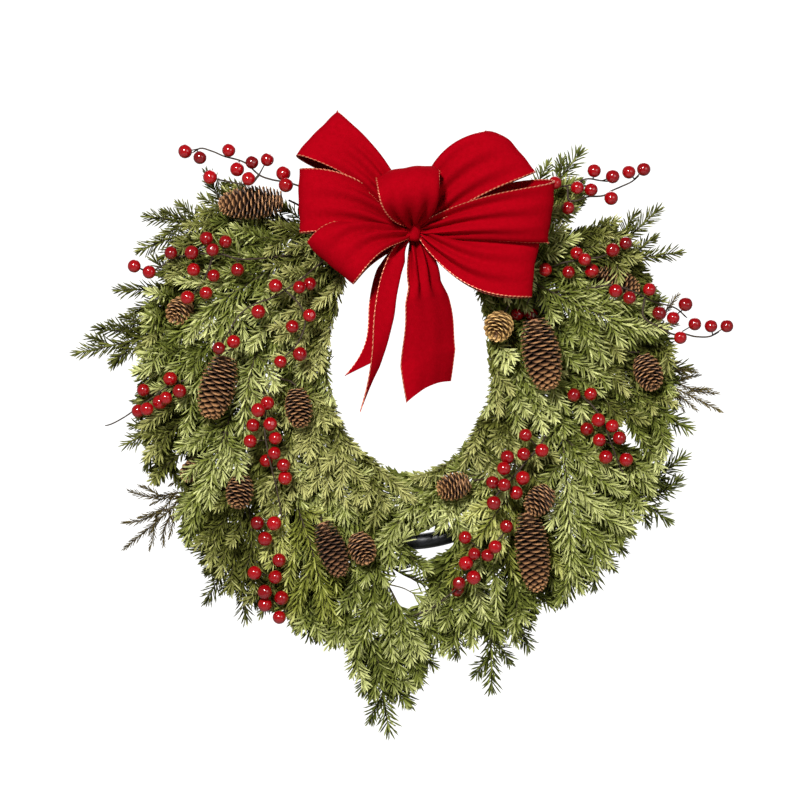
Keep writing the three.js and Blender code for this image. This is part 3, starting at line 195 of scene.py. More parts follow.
NEEDLES = {
    "fir": needle_finish("fir_needles", (0.020, 0.027, 0.004), (0.205, 0.234, 0.042), (0.68, 0.70, 0.29)),
    "olive": needle_finish("olive_needles", (0.020, 0.022, 0.003), (0.17, 0.18, 0.034), (0.53, 0.52, 0.19)),
    "lime": needle_finish("lime_needles", (0.038, 0.044, 0.004), (0.26, 0.28, 0.045), (0.68, 0.68, 0.24)),
    "cedar": needle_finish("cedar_needles", (0.05, 0.036, 0.010), (0.19, 0.145, 0.045), (0.36, 0.30, 0.12)),
}
TWIG = mottled_finish("green_twig", (0.035, 0.025, 0.008), (0.12, 0.10, 0.03), 700.0, Roughness=0.7)
BARK = mottled_finish("dark_bark", (0.012, 0.008, 0.005), (0.075, 0.045, 0.022), 900.0,
                      bump=0.5, Roughness=0.7)
TIE_WIRE = mottled_finish("green_tie_wire", (0.02, 0.035, 0.015), (0.06, 0.09, 0.04), 400.0,
                          bump=0.2, Roughness=0.4)
print("needle finishes", list(NEEDLES))


# %% [markdown]
# ## Finding the stems in the solids
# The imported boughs, sprays and stalks are thin tubes with three corners to a ring. Reading the
# middle of each ring off the solid gives the true line of each stem, so the fine stem runs inside
# its solid. A ring is three corners that are joined to each other without a face between them.
# Where a side shoot grows on a stem, its first ring is one of the stem's own faces.
# %% Rings of a solid
TIP_SQUARE = 0.88  # how squarely a point stands on its ring where it ends a stem


def skin_of(node):
    """The corners of a solid, each once, and its faces as sets of corner numbers."""
    copy = bmesh.new()
    copy.from_mesh(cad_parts[node].data)
    bmesh.ops.remove_doubles(copy, verts=copy.verts, dist=2e-6)
    copy.verts.index_update()
    corners = np.array([v.co for v in copy.verts])
    faces = {frozenset(v.index for v in f.verts) for f in copy.faces}
    copy.free()
    return corners, faces


class Rings:
    """The three-cornered rings of one solid, and which of them follow each other."""

    def __init__(self, node):
        self.corners, self.faces = skin_of(node)
        self.near = {}
        for face in self.faces:
            for corner in face:
                self.near.setdefault(corner, set()).update(face - {corner})
        points = {frozenset(around): corner for corner, around in self.near.items()
                  if len(around) == 3 and frozenset(around) not in self.faces}
        self.tips = {ring: tip for ring, tip in points.items() if self.stands_square(ring, tip)}
        feet = set(points) - set(self.tips)
        plain = {c: self.near[c] - set(points.values()) for c in self.near if c not in points.values()}
        self.all = {frozenset((a, b, c)) for a in plain for b in plain[a] for c in plain[a] & plain[b]}
        self.all -= self.faces | feet
        self.at = {}
        for ring in self.all:
            for corner in ring:
                self.at.setdefault(corner, set()).add(ring)

    def middle(self, ring):
        return self.corners[list(ring)].mean(axis=0)

    def radius(self, ring):
        return np.linalg.norm(self.corners[list(ring)] - self.middle(ring), axis=1).mean()

    def stands_square(self, ring, tip):
        a, b, c = self.corners[list(ring)]
        square = np.cross(b - a, c - a)
        way = self.corners[tip] - self.middle(ring)
        return abs(square @ way) > TIP_SQUARE * np.linalg.norm(square) * np.linalg.norm(way)

    def around(self, ring):
        return set().union(*(self.near[c] for c in ring)) - ring

    def following(self, ring):
        """The rings that share a whole band of faces with this one."""
        beside = {r for c in self.around(ring) for r in self.at.get(c, ()) if not r & ring}
        return sorted((r for r in beside if sum(len(self.near[c] & r) for c in ring) == 6), key=sorted)


# %% Stems of a solid
TIP_RADIUS = 0.0002  # m


def walk(rings, line, used, body=frozenset()):
    """The rings from the last of a line onwards, as far as a tip or back to the body."""
    while line[-1] not in rings.tips:
        onward = [r for r in rings.following(line[-1]) if r not in line and r not in used]
        if len(line) == 1:
            onward = [r for r in onward if not r <= body]
        if not onward:
            break
        line.append(onward[0])
        if line[-1] <= body:
            break
    return line


def stems_of(node):
    """Every tube of a solid, as {points, radii, kind}, from the butt outwards. Metres."""
    rings = Rings(node)
    # The thinnest of the flat ends is the butt's.
    caps = [f for f in rings.faces if frozenset(rings.around(f)) in rings.all]
    cap = min(caps, key=lambda f: (round(rings.radius(f), 5), sorted(f)))
    used = set()
    waiting = [([cap] + walk(rings, [frozenset(rings.around(cap))], used), frozenset())]
    stems = []
    while waiting:
        line, body = waiting.pop(0)
        used |= set(line)
        points = [rings.middle(r) for r in line]
        radii = [rings.radius(r) for r in line]
        tip = line[-1] in rings.tips
        if tip:
            points.append(rings.corners[rings.tips[line[-1]]])
            radii.append(TIP_RADIUS)
        kind = "stem" if tip else "tie" if line[-1] <= body else "stalk"
        stems.append({"points": np.array(points), "radii": np.array(radii), "kind": kind})
        own = frozenset().union(*line)
        for root in sorted((r for r in rings.all if r <= own and r not in used), key=sorted):
            grown = walk(rings, [root], used, own)
            if len(grown) > 1:
                used |= set(grown)
                waiting.append((grown, own))
    return stems


OF_TUBES = ("bough", "berry", "cone", "bow_wire")  # how the names of the solids with tubes begin
STEMS = {name: stems_of(name) for name in sorted(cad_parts) if name.startswith(OF_TUBES)}
print("solids with tubes", len(STEMS), "tubes", sum(len(s) for s in STEMS.values()))


# %% [markdown]
# ## Tubes from curves
# A stem or wire is easiest made as a curve with a round bevel: the curve carries the line and the
# radius at each point. It is then turned into a mesh. All the stems of one bough are splines of
# one curve. The points that were read are some way apart, so a smooth line is laid through them.
# %% Tubes
def smooth_line(points, radii, step):
    """The line through the points, with a point about every step, and its radii."""
    lengths = np.r_[0, np.cumsum(np.linalg.norm(np.diff(points, axis=0), axis=1))]
    slope = np.gradient(points, lengths, axis=0, edge_order=1)
    count = max(2, int(round(lengths[-1] / step)) + 1)
    at = np.linspace(0, lengths[-1], count)
    k = np.clip(np.searchsorted(lengths, at, side="right") - 1, 0, len(points) - 2)
    span = lengths[k + 1] - lengths[k]
    t = ((at - lengths[k]) / span)[:, None]
    span = span[:, None]
    line = ((2 * t**3 - 3 * t**2 + 1) * points[k] + (t**3 - 2 * t**2 + t) * span * slope[k]
            + (3 * t**2 - 2 * t**3) * points[k + 1] + (t**3 - t**2) * span * slope[k + 1])
    return line, np.interp(at, lengths, radii)


def select_only(*objects):
    bpy.ops.object.select_all(action="DESELECT")
    for each in objects:
        each.select_set(True)
    bpy.context.view_layer.objects.active = objects[0]


def edit(made):
    select_only(made)
    bpy.ops.object.mode_set(mode="EDIT")
    bpy.ops.mesh.select_mode(type="VERT")


def face_outwards():
    """Turns the faces of the piece in edit mode outwards, and leaves edit mode."""
    bpy.ops.mesh.select_all(action="SELECT")
    bpy.ops.mesh.normals_make_consistent(inside=False)
    bpy.ops.object.mode_set(mode="OBJECT")


def tubes(name, lines, finish, sides=6):
    """One mesh object of round tubes. Each line is (points, radii) in metres."""
    data = bpy.data.curves.new(name, "CURVE")
    data.dimensions = "3D"
    data.bevel_depth = 1.0
    data.bevel_resolution = (sides - 4) // 2
    data.use_fill_caps = True
    for points, radii in lines:
        spline = data.splines.new("POLY")
        spline.points.add(len(points) - 1)
        spline.points.foreach_set("co", np.c_[points, np.ones(len(points))].ravel())
        spline.points.foreach_set("radius", radii)
    made = bpy.data.objects.new(name, data)
    bpy.context.scene.collection.objects.link(made)
    select_only(made)
    bpy.ops.object.convert(target="MESH")
    made = bpy.context.object
    edit(made)
    bpy.ops.mesh.select_all(action="SELECT")
    bpy.ops.mesh.remove_doubles(threshold=1e-6)
    face_outwards()
    bpy.ops.object.shade_smooth()
    made.data.materials.clear()
    made.data.materials.append(finish)
    return made


# %% [markdown]
# ## One needle, stamped many times
# A needle is a slim blunt leaf, widest near its end. It is modelled once from a three-sided
# cone: its far end is extruded and drawn to a point. Tens of thousands of needles as objects
# would be slow, so each bough's needles are copies of this one's corners, placed in one mesh.
# %% The needle
def pattern_of(made):
    """The corners and triangles of a piece that is to be stamped, which is then removed."""
    made.data.calc_loop_triangles()
    corners = np.array([v.co for v in made.data.vertices])
    triangles = np.array([t.vertices for t in made.data.loop_triangles])
    bpy.data.objects.remove(made)
    return corners, triangles


def pick(made, test):
    """Selects in edit mode the corners whose place passes the test."""
    mesh = bmesh.from_edit_mesh(made.data)
    for v in mesh.verts:
        v.select = test(v.co)
    mesh.select_flush_mode()
    bmesh.update_edit_mesh(made.data)


bpy.ops.mesh.primitive_cone_add(vertices=3, radius1=0.36, radius2=0.5, depth=0.7, location=(0, 0, 0.35))
needle = bpy.context.object
bpy.ops.object.transform_apply(location=True, rotation=True, scale=True)
edit(needle)
pick(needle, lambda co: co.z > 0.6)
bpy.ops.mesh.extrude_region_move(TRANSFORM_OT_translate={"value": (0, -0.12, 0.3)})
bpy.ops.mesh.merge(type="CENTER")
face_outwards()
NEEDLE, NEEDLE_FACES = pattern_of(needle)
print("needle", NEEDLE.shape, NEEDLE_FACES.shape)


# %% [markdown]
# ## Growing needles on a stem
# Needles leave a shoot in a spiral, each turned a little past the last by the same angle, and lean
# towards the tip. They lie flatter to the sides than to the front and back, and close up into a
# brush at the very tip. Short side twigs leave the stem left and right in turn.
# %% Growing
GOLDEN = math.pi * (3 - math.sqrt(5))
KINDS = {  # mm: needle length, width and spacing, side shoots' length and spacing; lean in degrees
    "fir": (17.5, 2.15, 0.95, 44, 18, 45),
    "olive": (16.0, 1.9, 0.93, 42, 18, 41),
    "lime": (17.0, 2.05, 0.95, 44, 18, 43),
    "cedar": (8.5, 1.2, 1.0, 34, 13, 30),
}
BRUSH_TIP = 32  # mm, the end of a stem that has needles alone
CLOSING = 11  # mm, the end of a shoot where the needles close up
TIP_LEAN, TIP_LENGTH = 0.35, 0.68  # the share of its lean and length that a needle has at the tip
TO_FRONT = 0.75  # how far a needle leans to the front or back, where it is 1 to the sides


def unit(vectors):
    return vectors / np.linalg.norm(vectors, axis=-1, keepdims=True)


def lerp(a, b, share):
    return a + (b - a) * share


def directions(line):
    """Along, aside and to the front at each point of a line."""
    along = unit(np.gradient(line, axis=0))
    aside = np.cross(along, (0.0, -1.0, 0.05))
    aside = unit(np.where(np.linalg.norm(aside, axis=1, keepdims=True) < 0.1, (1.0, 0, 0), aside))
    return along, aside, np.cross(aside, along)


def at_lengths(line, values, at):
    lengths = np.r_[0, np.cumsum(np.linalg.norm(np.diff(line, axis=0), axis=1))]
    return np.stack([np.interp(at, lengths, values[:, i]) for i in range(values.shape[1])], axis=1)


def length_of(line):
    return float(np.linalg.norm(np.diff(line, axis=0), axis=1).sum())


def needles_on(line, radii, kind, start, scale=1.0, breadth=1.0):
    """Places, axes and shares of the way to the tip, of the needles on one line. Metres."""
    length, width, spacing, _, _, lean = KINDS[kind]
    reach = length_of(line)
    at = np.arange(start, reach, spacing * MM)
    if len(at) == 0:
        return np.zeros((0, 3)), np.zeros((0, 3, 3)), np.zeros(0)
    along, aside, front = (unit(at_lengths(line, v, at)) for v in directions(line))
    turn = (np.arange(len(at)) * GOLDEN + random.uniform(0, 6.28))[:, None]
    away = unit(np.cos(turn) * aside + TO_FRONT * np.sin(turn) * front)
    to_tip = np.clip((reach - at) / (CLOSING * MM), 0, 1)[:, None]
    angle = np.radians(lean) * lerp(TIP_LEAN, 1, to_tip) * random.uniform(0.8, 1.2, (len(at), 1))
    way = unit(np.cos(angle) * along + np.sin(angle) * away + random.normal(0, 0.06, (len(at), 3)))
    size = length * MM * scale * random.uniform(0.8, 1.08, (len(at), 1)) * lerp(TIP_LENGTH, 1, to_tip)
    across = unit(np.cross(way, along + 0.01))
    up = np.cross(across, way)
    broad = width * breadth * MM * random.uniform(0.85, 1.15, (len(at), 1))
    axes = np.stack([across * broad, up * broad * 0.8, way * size], axis=1)
    radius = at_lengths(line, np.asarray(radii)[:, None], at)
    return at_lengths(line, line, at) + away * radius * 0.4, axes, at / reach


# %% Side growth
OPEN_PLACES = [(5, 26, 83, 117), (2, -209, 20, 22), (27, -161, 27, 13)]  # x, z, half width, half height
SHOOT_RADII = np.array([0.8, 0.6, 0.25]) * MM  # at a shoot's foot, middle and tip
SHORTEST = 5  # mm, of a shoot on a stem
PAST_END = 9  # mm, how far a shoot's needles reach past its end, about


def in_ellipse(x, z, middle_x, middle_z, half_width, half_height):
    return ((x - middle_x) / half_width) ** 2 + ((z - middle_z) / half_height) ** 2 < 1


def keeps_clear(x, z, margin=0):
    """Whether a place (mm about the hoop) is outside the wreath's hole and its two low gaps."""
    inside = [in_ellipse(x, z, a, b, w + margin, h + margin) for a, b, w, h in OPEN_PLACES]
    return ~np.any(inside, axis=0)


def tip_is_clear(point):
    return bool(keeps_clear(point[0] / MM, point[2] / MM - HOOP_MIDDLE[2]))


def side_growth(line, start, longest, spacing):
    """The points of short shoots along a stem, left and right in turn."""
    reach = length_of(line)
    at = np.arange(start, reach - BRUSH_TIP * MM, spacing * MM)
    if len(at) == 0:
        return []
    at = at + random.uniform(-0.15, 0.15, len(at)) * spacing * MM
    along, aside, front = (unit(at_lengths(line, v, at)) for v in directions(line))
    grown = []
    for i, place in enumerate(at_lengths(line, line, at)):
        side = 1 if i % 2 else -1
        near_tip = min(1.0, 0.2 + (reach - at[i]) / (2.2 * longest * MM))
        length = longest * MM * random.uniform(0.75, 1.15) * near_tip
        way = unit(along[i] * 0.72 + aside[i] * side * 0.7 + front[i] * random.uniform(-0.35, 0.35))
        end = unit(way + along[i] * 0.4 + np.array([0, 0, -0.1]))
        while length > SHORTEST * MM and not tip_is_clear(
                place + (way + end) * length * 0.5 + end * PAST_END * MM):
            length *= 0.7
        if length > SHORTEST * MM:
            grown.append(np.array([place, place + way * length * 0.5, place + (way + end) * length * 0.5]))
    return grown


# %% Stamping
def stamped(name, pattern, faces, places, axes, tones, finish, smooth=False, rise=1.0):
    """One mesh of copies of a pattern. Each corner keeps its copy's tone and its own height."""
    count, size = len(places), len(pattern)
    corners = (places[:, None] + np.einsum("nc,kcd->knd", pattern, axes)).reshape(-1, 3)
    triangles = (faces[None] + (np.arange(count) * size)[:, None, None]).reshape(-1, 3)
    mesh = bpy.data.meshes.new(name)
    mesh.vertices.add(len(corners))
    mesh.vertices.foreach_set("co", corners.ravel())
    mesh.loops.add(triangles.size)
    mesh.loops.foreach_set("vertex_index", triangles.ravel())
    mesh.polygons.add(len(triangles))
    mesh.polygons.foreach_set("loop_start", np.arange(0, triangles.size, 3))
    mesh.polygons.foreach_set("use_smooth", np.full(len(triangles), smooth))
    mesh.update(calc_edges=True)
    height = ((pattern[:, 2] - pattern[:, 2].min()) / np.ptp(pattern[:, 2])).clip(0, 1) ** rise
    colour = np.ones((count, size, 4))
    colour[..., 0] = tones[:, None]
    colour[..., 1] = height[None]
    mesh.attributes.new("tone", "FLOAT_COLOR", "POINT").data.foreach_set("color", colour.ravel())
    mesh.materials.append(finish)
    made = bpy.data.objects.new(name, mesh)
    bpy.context.scene.collection.objects.link(made)
    return made


def join(name, *objects):
    select_only(*objects)
    bpy.ops.object.join()
    made = bpy.context.object
    made.name = made.data.name = name
    return made


def dress(piece, slot, *nodes):
    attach(piece, "root")
    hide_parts(*nodes)
    return piece


# %% [markdown]
# ## Where the cones and berries sit
# The greenery has to leave the cones and berries in sight, so their places are noted before it
# grows. The cones' places are those of the solids. The berries sit on the ends of their stalks.
# %% Places of the cones and berries
# Each cone: base x, z and depth, tip x, z and depth, and diameter, about the hoop's centre, in mm.
CONES = {
    "cone_01": [(-123, 185, 40, -188, 180, 48, 34)],
    "cone_02": [(-179, 28, 46, -196, -35, 52, 37)],
    "cone_03": [(-109, -5, 38, -104, -42, 50, 28)],
    "cone_04": [(-163, -92, 36, -168, -122, 48, 28)],
    "cone_05": [(-222, 84, 18, -232, 66, 38, 27)],
    "cone_06": [(-214, -80, 16, -220, -94, 30, 20)],
    "cone_pair_07": [(-83, -138, 40, -63, -193, 46, 30), (-48, -152, 32, -38, -176, 50, 28)],
    "cone_08": [(64, -97, 42, 33, -106, 48, 28)],
    "cone_09": [(98, 68, 30, 90, 50, 50, 30)],
    "cone_10": [(129, 65, 48, 144, -7, 54, 39)],
    "cone_11": [(240, 28, 20, 250, -3, 38, 29)],
    "cone_pair_12": [(123, -128, 38, 133, -210, 46, 35), (144, -104, 48, 124, -126, 58, 28)],
    "cone_13": [(195, 113, 22, 237, 95, 28, 26)],
}
BERRY_RADIUS = 6.6 * MM
SEAT = 0.99  # how far a berry's middle is from its stalk's end, in radii


def berry_stalks(name):
    """The short stalks of a spray, each as its root and the neck that its berry sits on."""
    return [s["points"] for s in STEMS[name] if s["kind"] == "stalk" and len(s["points"]) == 2]


SPRAY_NAMES = [name for name in STEMS if name.startswith("berry")]
print("cones", sum(len(c) for c in CONES.values()), "berries",
      sum(len(berry_stalks(name)) for name in SPRAY_NAMES))


# %% [markdown]
# ## The boughs
# Each bough starts as the stems that its solid shows, with regular side shoots on them. Real
# boughs are fuller than that: wherever light gets in, another shoot grows. So places are scattered
# over the wreath's ring, and for each one that is still bare, the stem best placed to reach it
# grows a shoot there. The gaps close in the way that they do on a living bough. The door that the
# wreath hangs on presses the rearmost shoots and needles flat, so none of them passes its plane.
# %% Stems and side shoots
DOOR = 13.5 * MM  # how far behind the hoop's middle growth may reach, just clear of the door
BARE_BUTT, BARE_BRANCH = 5, 3  # mm, before the first needle
STEM_SHARE, THINNEST = 0.75, 0.35 * MM  # how thick a stem is beside its solid's, and at least


def bough_lines(name):
    """The lines of a bough: points, radii, where needles start, whether a stem, the needles' breadth."""
    kind = name.rsplit("_", 1)[1]
    _, _, _, shoot_length, shoot_step, _ = KINDS[kind]
    lines = []
    for i, stem in enumerate(s for s in STEMS[name] if s["kind"] != "tie"):
        line, radii = smooth_line(stem["points"], stem["radii"], 4 * MM)
        start = (BARE_BUTT if i == 0 else BARE_BRANCH) * MM
        lines.append((line, np.maximum(radii * STEM_SHARE, THINNEST), start, True, 1.0))
        for points in side_growth(line, start + 8 * MM, shoot_length, shoot_step):
            points[1:, 1] = np.minimum(points[1:, 1], DOOR)
            lines.append((*smooth_line(points, SHOOT_RADII, 4 * MM), 2 * MM, False, 1.0))
    return lines


LINES = {name: bough_lines(name) for name in STEMS if name.startswith("bough")}
print("stems and shoots", sum(len(v) for v in LINES.values()))


# %% Where shoots fill the ring
RING_RADIUS = 268  # mm
LOW_TIP = (-17, -264, 38, 52)  # mm, the boughs' tip below the ring: x, z, half width, half height
BEHIND_BOW = (38, 182)  # degrees from the top, and mm from the middle outwards: hidden by the loops
BEHIND_TAILS = (30, 150)  # degrees from the top, and mm from the middle inwards: over the opening


def bare_places(step, near, far):
    """Scattered places over the ring, x, depth and z in mm about the hoop."""
    x, z = np.meshgrid(np.arange(-320, 321, step), np.arange(-320, 321, step))
    x, z = (v.ravel() + random.uniform(-step / 3, step / 3, x.size) for v in (x, z))
    radius, angle = np.hypot(x, z), np.degrees(np.arctan2(x, z))
    behind_bow = (np.abs(angle) < BEHIND_BOW[0]) & (radius > BEHIND_BOW[1])
    behind_tails = (np.abs(angle) < BEHIND_TAILS[0]) & (z > 0) & (radius < BEHIND_TAILS[1])
    on_ring = (radius < RING_RADIUS) | in_ellipse(x, z, *LOW_TIP)
    keep = on_ring & keeps_clear(x, z) & ~behind_bow & ~behind_tails
    return np.stack([x, random.uniform(near, far, x.size), z], axis=1)[keep]


def decorations():
    """The places of the cones and berries: x, depth and z (mm about the hoop), and radius."""
    found = []
    for (bx, bz, bd, tx, tz, td, width) in (c for group in CONES.values() for c in group):
        found += [(lerp(bx, tx, k), lerp(bd, td, k), lerp(bz, tz, k), width / 2)
                  for k in np.linspace(0, 1, 5)]
    for name in SPRAY_NAMES:
        for root, neck in berry_stalks(name):
            x, y, z = (neck + unit(neck - root) * SEAT * BERRY_RADIUS) / MM - HOOP_MIDDLE
            found.append((x, -y, z, BERRY_RADIUS / MM))
    return np.array(found)


DECORATIONS = decorations()
BESIDE, BEHIND = 5, 4  # mm, how clear of a cone or berry a shoot starts to turn, and passes


def behind_decorations(line):
    """The line, led behind each cone and berry that it crosses. mm about the hoop."""
    depth = -line[:, 1]
    for x, deep, z, radius in DECORATIONS:
        near = np.hypot(line[:, 0] - x, line[:, 2] - z) < radius + BESIDE
        depth = np.where(near, np.minimum(depth, deep - radius - BEHIND), depth)
    depth = np.convolve(np.pad(depth, 2, mode="edge"), np.full(5, 0.2), mode="valid")
    return np.stack([line[:, 0], -depth, line[:, 2]], axis=1)


print("places to keep in sight", len(DECORATIONS))


# %% Filling the bare places
RIM_FROM, BY_STEM = 222, 20  # mm: past this radius, shoots fill only the places this near a stem
BEST_REACH, REACH_SPREAD, LEAST_REACH, MOST_REACH = 40, 14, 15, 80  # mm, of a shoot that fills
UNFIT = 1e9
LAYERS = [  # mm: step between places, least and most depth, how near growth covers one; needles' breadth
    (6, 3, 10, 5.5, 1.6),
    (7, 10, 15, 7.0, 1.2),
    (8, 16, 26, 7.5, 1.15),
    (9, 30, 42, 9.0, 1.0),
]


def shoot_to(place, at, along, flow):
    """Where on the stems a shoot to the place is best grown, and its points in mm if there is room."""
    away = place - at
    reach = np.linalg.norm(away, axis=1)
    away = away / np.maximum(reach, 1e-6)[:, None]
    turn = (away * along).sum(axis=1)
    with_flow = (away * flow).sum(axis=1)
    unfit = np.abs(reach - BEST_REACH) / REACH_SPREAD + 2.2 * (1 - turn) + 0.8 * (1 - with_flow)
    unfit[(reach < LEAST_REACH) | (reach > MOST_REACH) | (turn < 0.2)] = UNFIT
    best = int(unfit.argmin())
    if unfit[best] == UNFIT:
        return best, None
    bend = at[best] + unit(along[best] + away[best]) * reach[best] * 0.45
    end = place + unit(place - bend) * 5
    beyond = end + unit(end - bend) * 6
    clear = all(keeps_clear(*p[[0, 2]]) for p in (bend, (bend + end) / 2, end, beyond))
    return best, np.array([at[best], bend, end]) if clear else None


def fill(step, near, far, bare, broad):
    """Grows shoots towards the bare places between two depths, and returns how many."""
    names = [n for n in LINES if not n.endswith("cedar")]
    nodes = [(p[2:-1], np.gradient(p, axis=0)[2:-1], k) for k, n in enumerate(names) for p, *_ in LINES[n]]
    at = np.concatenate([p for p, _, _ in nodes]) / MM - HOOP_MIDDLE
    along = unit(np.concatenate([d for _, d, _ in nodes]))
    owner = np.concatenate([np.full(len(p), k) for p, _, k in nodes])
    places = bare_places(step, near, far) * (1, -1, 1)
    own = np.concatenate([p for n in names for p, _, _, stem, _ in LINES[n] if stem]) / MM - HOOP_MIDDLE
    by_stem = np.array([np.hypot(own[:, 0] - p[0], own[:, 2] - p[2]).min() for p in places])
    places = places[(np.hypot(places[:, 0], places[:, 2]) < RIM_FROM) | (by_stem < BY_STEM)]
    level = at[-at[:, 1] > near - 4]
    covered = np.array([np.hypot(level[:, 0] - p[0], level[:, 2] - p[2]).min() < bare for p in places])
    # The boughs of the wreath point outwards and down, and the new shoots go with them.
    flow = unit(unit(at * (1, 0, 1)) * 0.8 + np.array([0, 0, -0.6]))
    grown = 0
    for i in random.permutation(len(places)):
        if covered[i]:
            continue
        best, points = shoot_to(places[i], at, along, flow)
        if points is None:
            continue
        line, radii = smooth_line(points, SHOOT_RADII, 4)
        line = behind_decorations(line)
        LINES[names[owner[best]]].append(((line + HOOP_MIDDLE) * MM, radii, 2 * MM, False, broad))
        for p in line:
            covered |= np.hypot(places[:, 0] - p[0], places[:, 2] - p[2]) < bare
        grown += 1
    return grown


for layer in LAYERS:
    print("shoots that fill from depth", layer[1], "to", layer[2], "mm:", fill(*layer))


# %% Boughs
USUAL_TONE, TONE_SPREAD = 0.38, 0.13  # of a needle, where 0 is the deep tone and 1 the light one
SHOOT_SPREAD, TIPS_LIGHTER = 0.10, 0.24  # tone: between shoots, and from a shoot's foot to its tip
SHOOT_NEEDLES = 0.86  # how long a shoot's needles are, beside a stem's
INTO_HOLE = 5  # mm, how far needles may reach into the hole and the gaps


def painted_light_and_shade(places):
    """Painted shade and light: needles darker deep in and low down, lighter in front and by the hole."""
    # painted shade on the needles deeper in, painted light on those in front
    by_depth = np.clip((-places[:, 1] / MM - 28) / 50, -0.40, 0.18)
    height = places[:, 2] / MM - HOOP_MIDDLE[2]
    by_hole = 0.22 * np.clip((172 - np.hypot(places[:, 0] / MM, height)) / 36, 0, 1)
    # the last term paints the lowest needles darker, as shade
    return by_depth + by_hole + 0.09 * np.clip((height + 130) / 70, -1, 0)


def bough(name):
    kind = name.rsplit("_", 1)[1]
    lines = LINES[name]
    grown = [needles_on(points, radii, kind, start, 1.0 if stem else SHOOT_NEEDLES, broad)
             for points, radii, start, stem, broad in lines]
    places = np.concatenate([g[0] for g in grown])
    axes = np.concatenate([g[1] for g in grown])
    shoots = np.concatenate([random.normal(0, SHOOT_SPREAD) + TIPS_LIGHTER * (g[2] - 0.5) for g in grown])
    tips = (places + axes[:, 2]) / MM - HOOP_MIDDLE
    kept = keeps_clear(tips[:, 0], tips[:, 2], -INTO_HOLE)
    places, axes, shoots = places[kept], axes[kept], shoots[kept]
    axes[:, 2, 1] -= np.maximum(places[:, 1] + axes[:, 2, 1] - DOOR, 0)
    own = random.uniform(-0.06, 0.06)
    # each needle's tone takes the painted shade and light of its depth, its height and its place by the
    # hole
    tones = random.normal(USUAL_TONE + own, TONE_SPREAD, len(places)) + shoots + painted_light_and_shade(places)
    tones = np.clip(tones, 0, 1)
    leaves = stamped(name + "_leaves", NEEDLE, NEEDLE_FACES, places, axes, tones, NEEDLES[kind])
    pieces = [leaves, tubes(name + "_wood", [(p, r) for p, r, _, stem, _ in lines if stem], BARK)]
    pieces.append(tubes(name + "_twigs", [(p, r) for p, r, _, stem, _ in lines if not stem], TWIG, sides=4))
    ties = [smooth_line(t["points"], t["radii"], 3 * MM) for t in STEMS[name] if t["kind"] == "tie"]
    if ties:
        pieces.append(tubes(name + "_tie", ties, TIE_WIRE))
    made = join(name + "_green", *pieces)
    return dress(made, "needles_" + kind, name), len(places)


BOUGHS = [bough(name) for name in LINES]
print("boughs", len(BOUGHS), "needles", sum(n for _, n in BOUGHS),
      "triangles", sum(len(b.data.polygons) for b, _ in BOUGHS))


# %% [markdown]
# ## The hoop
# The hoop is a round tube painted satin black, with its ends joined at the bottom. A torus is a
# tube bent into a ring, so it starts as one, and the joint gets a short sleeve.
# %% Hoop
HOOP_RADIUS, TUBE_RADIUS = 160 * MM, 8 * MM
SLEEVE_HALF, SLEEVE_PROUD = 11 * MM, 0.4 * MM
HOOP_PAINT = mottled_finish("satin_black_paint", (0.006, 0.0065, 0.008), (0.016, 0.017, 0.02), 120.0,
                            bump=0.15, Roughness=0.36)
bpy.ops.mesh.primitive_torus_add(major_radius=HOOP_RADIUS, minor_radius=TUBE_RADIUS, major_segments=180,
                                 minor_segments=20, location=tuple(HOOP_MIDDLE * MM),
                                 rotation=(math.pi / 2, 0, 0))
hoop = bpy.context.object
hoop.name = hoop.data.name = "hoop_tube"
bpy.ops.object.transform_apply(location=True, rotation=True, scale=True)
edit(hoop)
pick(hoop, lambda co: abs(co.x) < SLEEVE_HALF and co.z < HOOP_MIDDLE[2] * MM)
bpy.ops.transform.shrink_fatten(value=SLEEVE_PROUD)
bpy.ops.object.mode_set(mode="OBJECT")
bpy.ops.object.shade_smooth()
hoop.data.materials.append(HOOP_PAINT)
dress(hoop, "hoop", "hoop")
print("hoop", len(hoop.data.polygons))

# %% [markdown]
# ## Pine cones
# A pine cone is a core with woody scales in a spiral, each turned past the last by the golden
# angle. One scale is modelled from a small block: it is widened, thinned and curled, with a
# thicker rim. The rims are light and dry; towards its foot each scale is darker wood, and is
# painted darker still as shade between the scales, so each copy's height gives its tone.
# %% The scale
bpy.ops.mesh.primitive_cube_add(size=1, location=(0, 0, 0.5))
scale_piece = bpy.context.object
bpy.ops.object.transform_apply(location=True, rotation=True, scale=True)
edit(scale_piece)
bpy.ops.mesh.select_all(action="SELECT")
bpy.ops.mesh.subdivide(number_cuts=2)
bpy.ops.object.mode_set(mode="OBJECT")
for v in scale_piece.data.vertices:
    x, y, z = v.co
    wide = 0.30 + 0.78 * z - 0.34 * max(0.0, z - 0.6) / 0.4
    arch = 1 - 0.22 * (2 * x) ** 2 * z
    thick = 0.06 + 0.09 * z * z
    v.co = (x * wide, y * thick + 0.22 * z**2 - 0.28 * x * x * z, z * arch)
edit(scale_piece)
face_outwards()
SCALE, SCALE_FACES = pattern_of(scale_piece)
print("scale", SCALE.shape, SCALE_FACES.shape)


# %% Cone finishes and places
def cone_finish(name, deep, plain, light):
    # The deep tone at each scale's foot is partly darker wood and partly painted shade between the scales.
    return toned_finish(name, deep, plain, light, 0.85, Roughness=0.62)


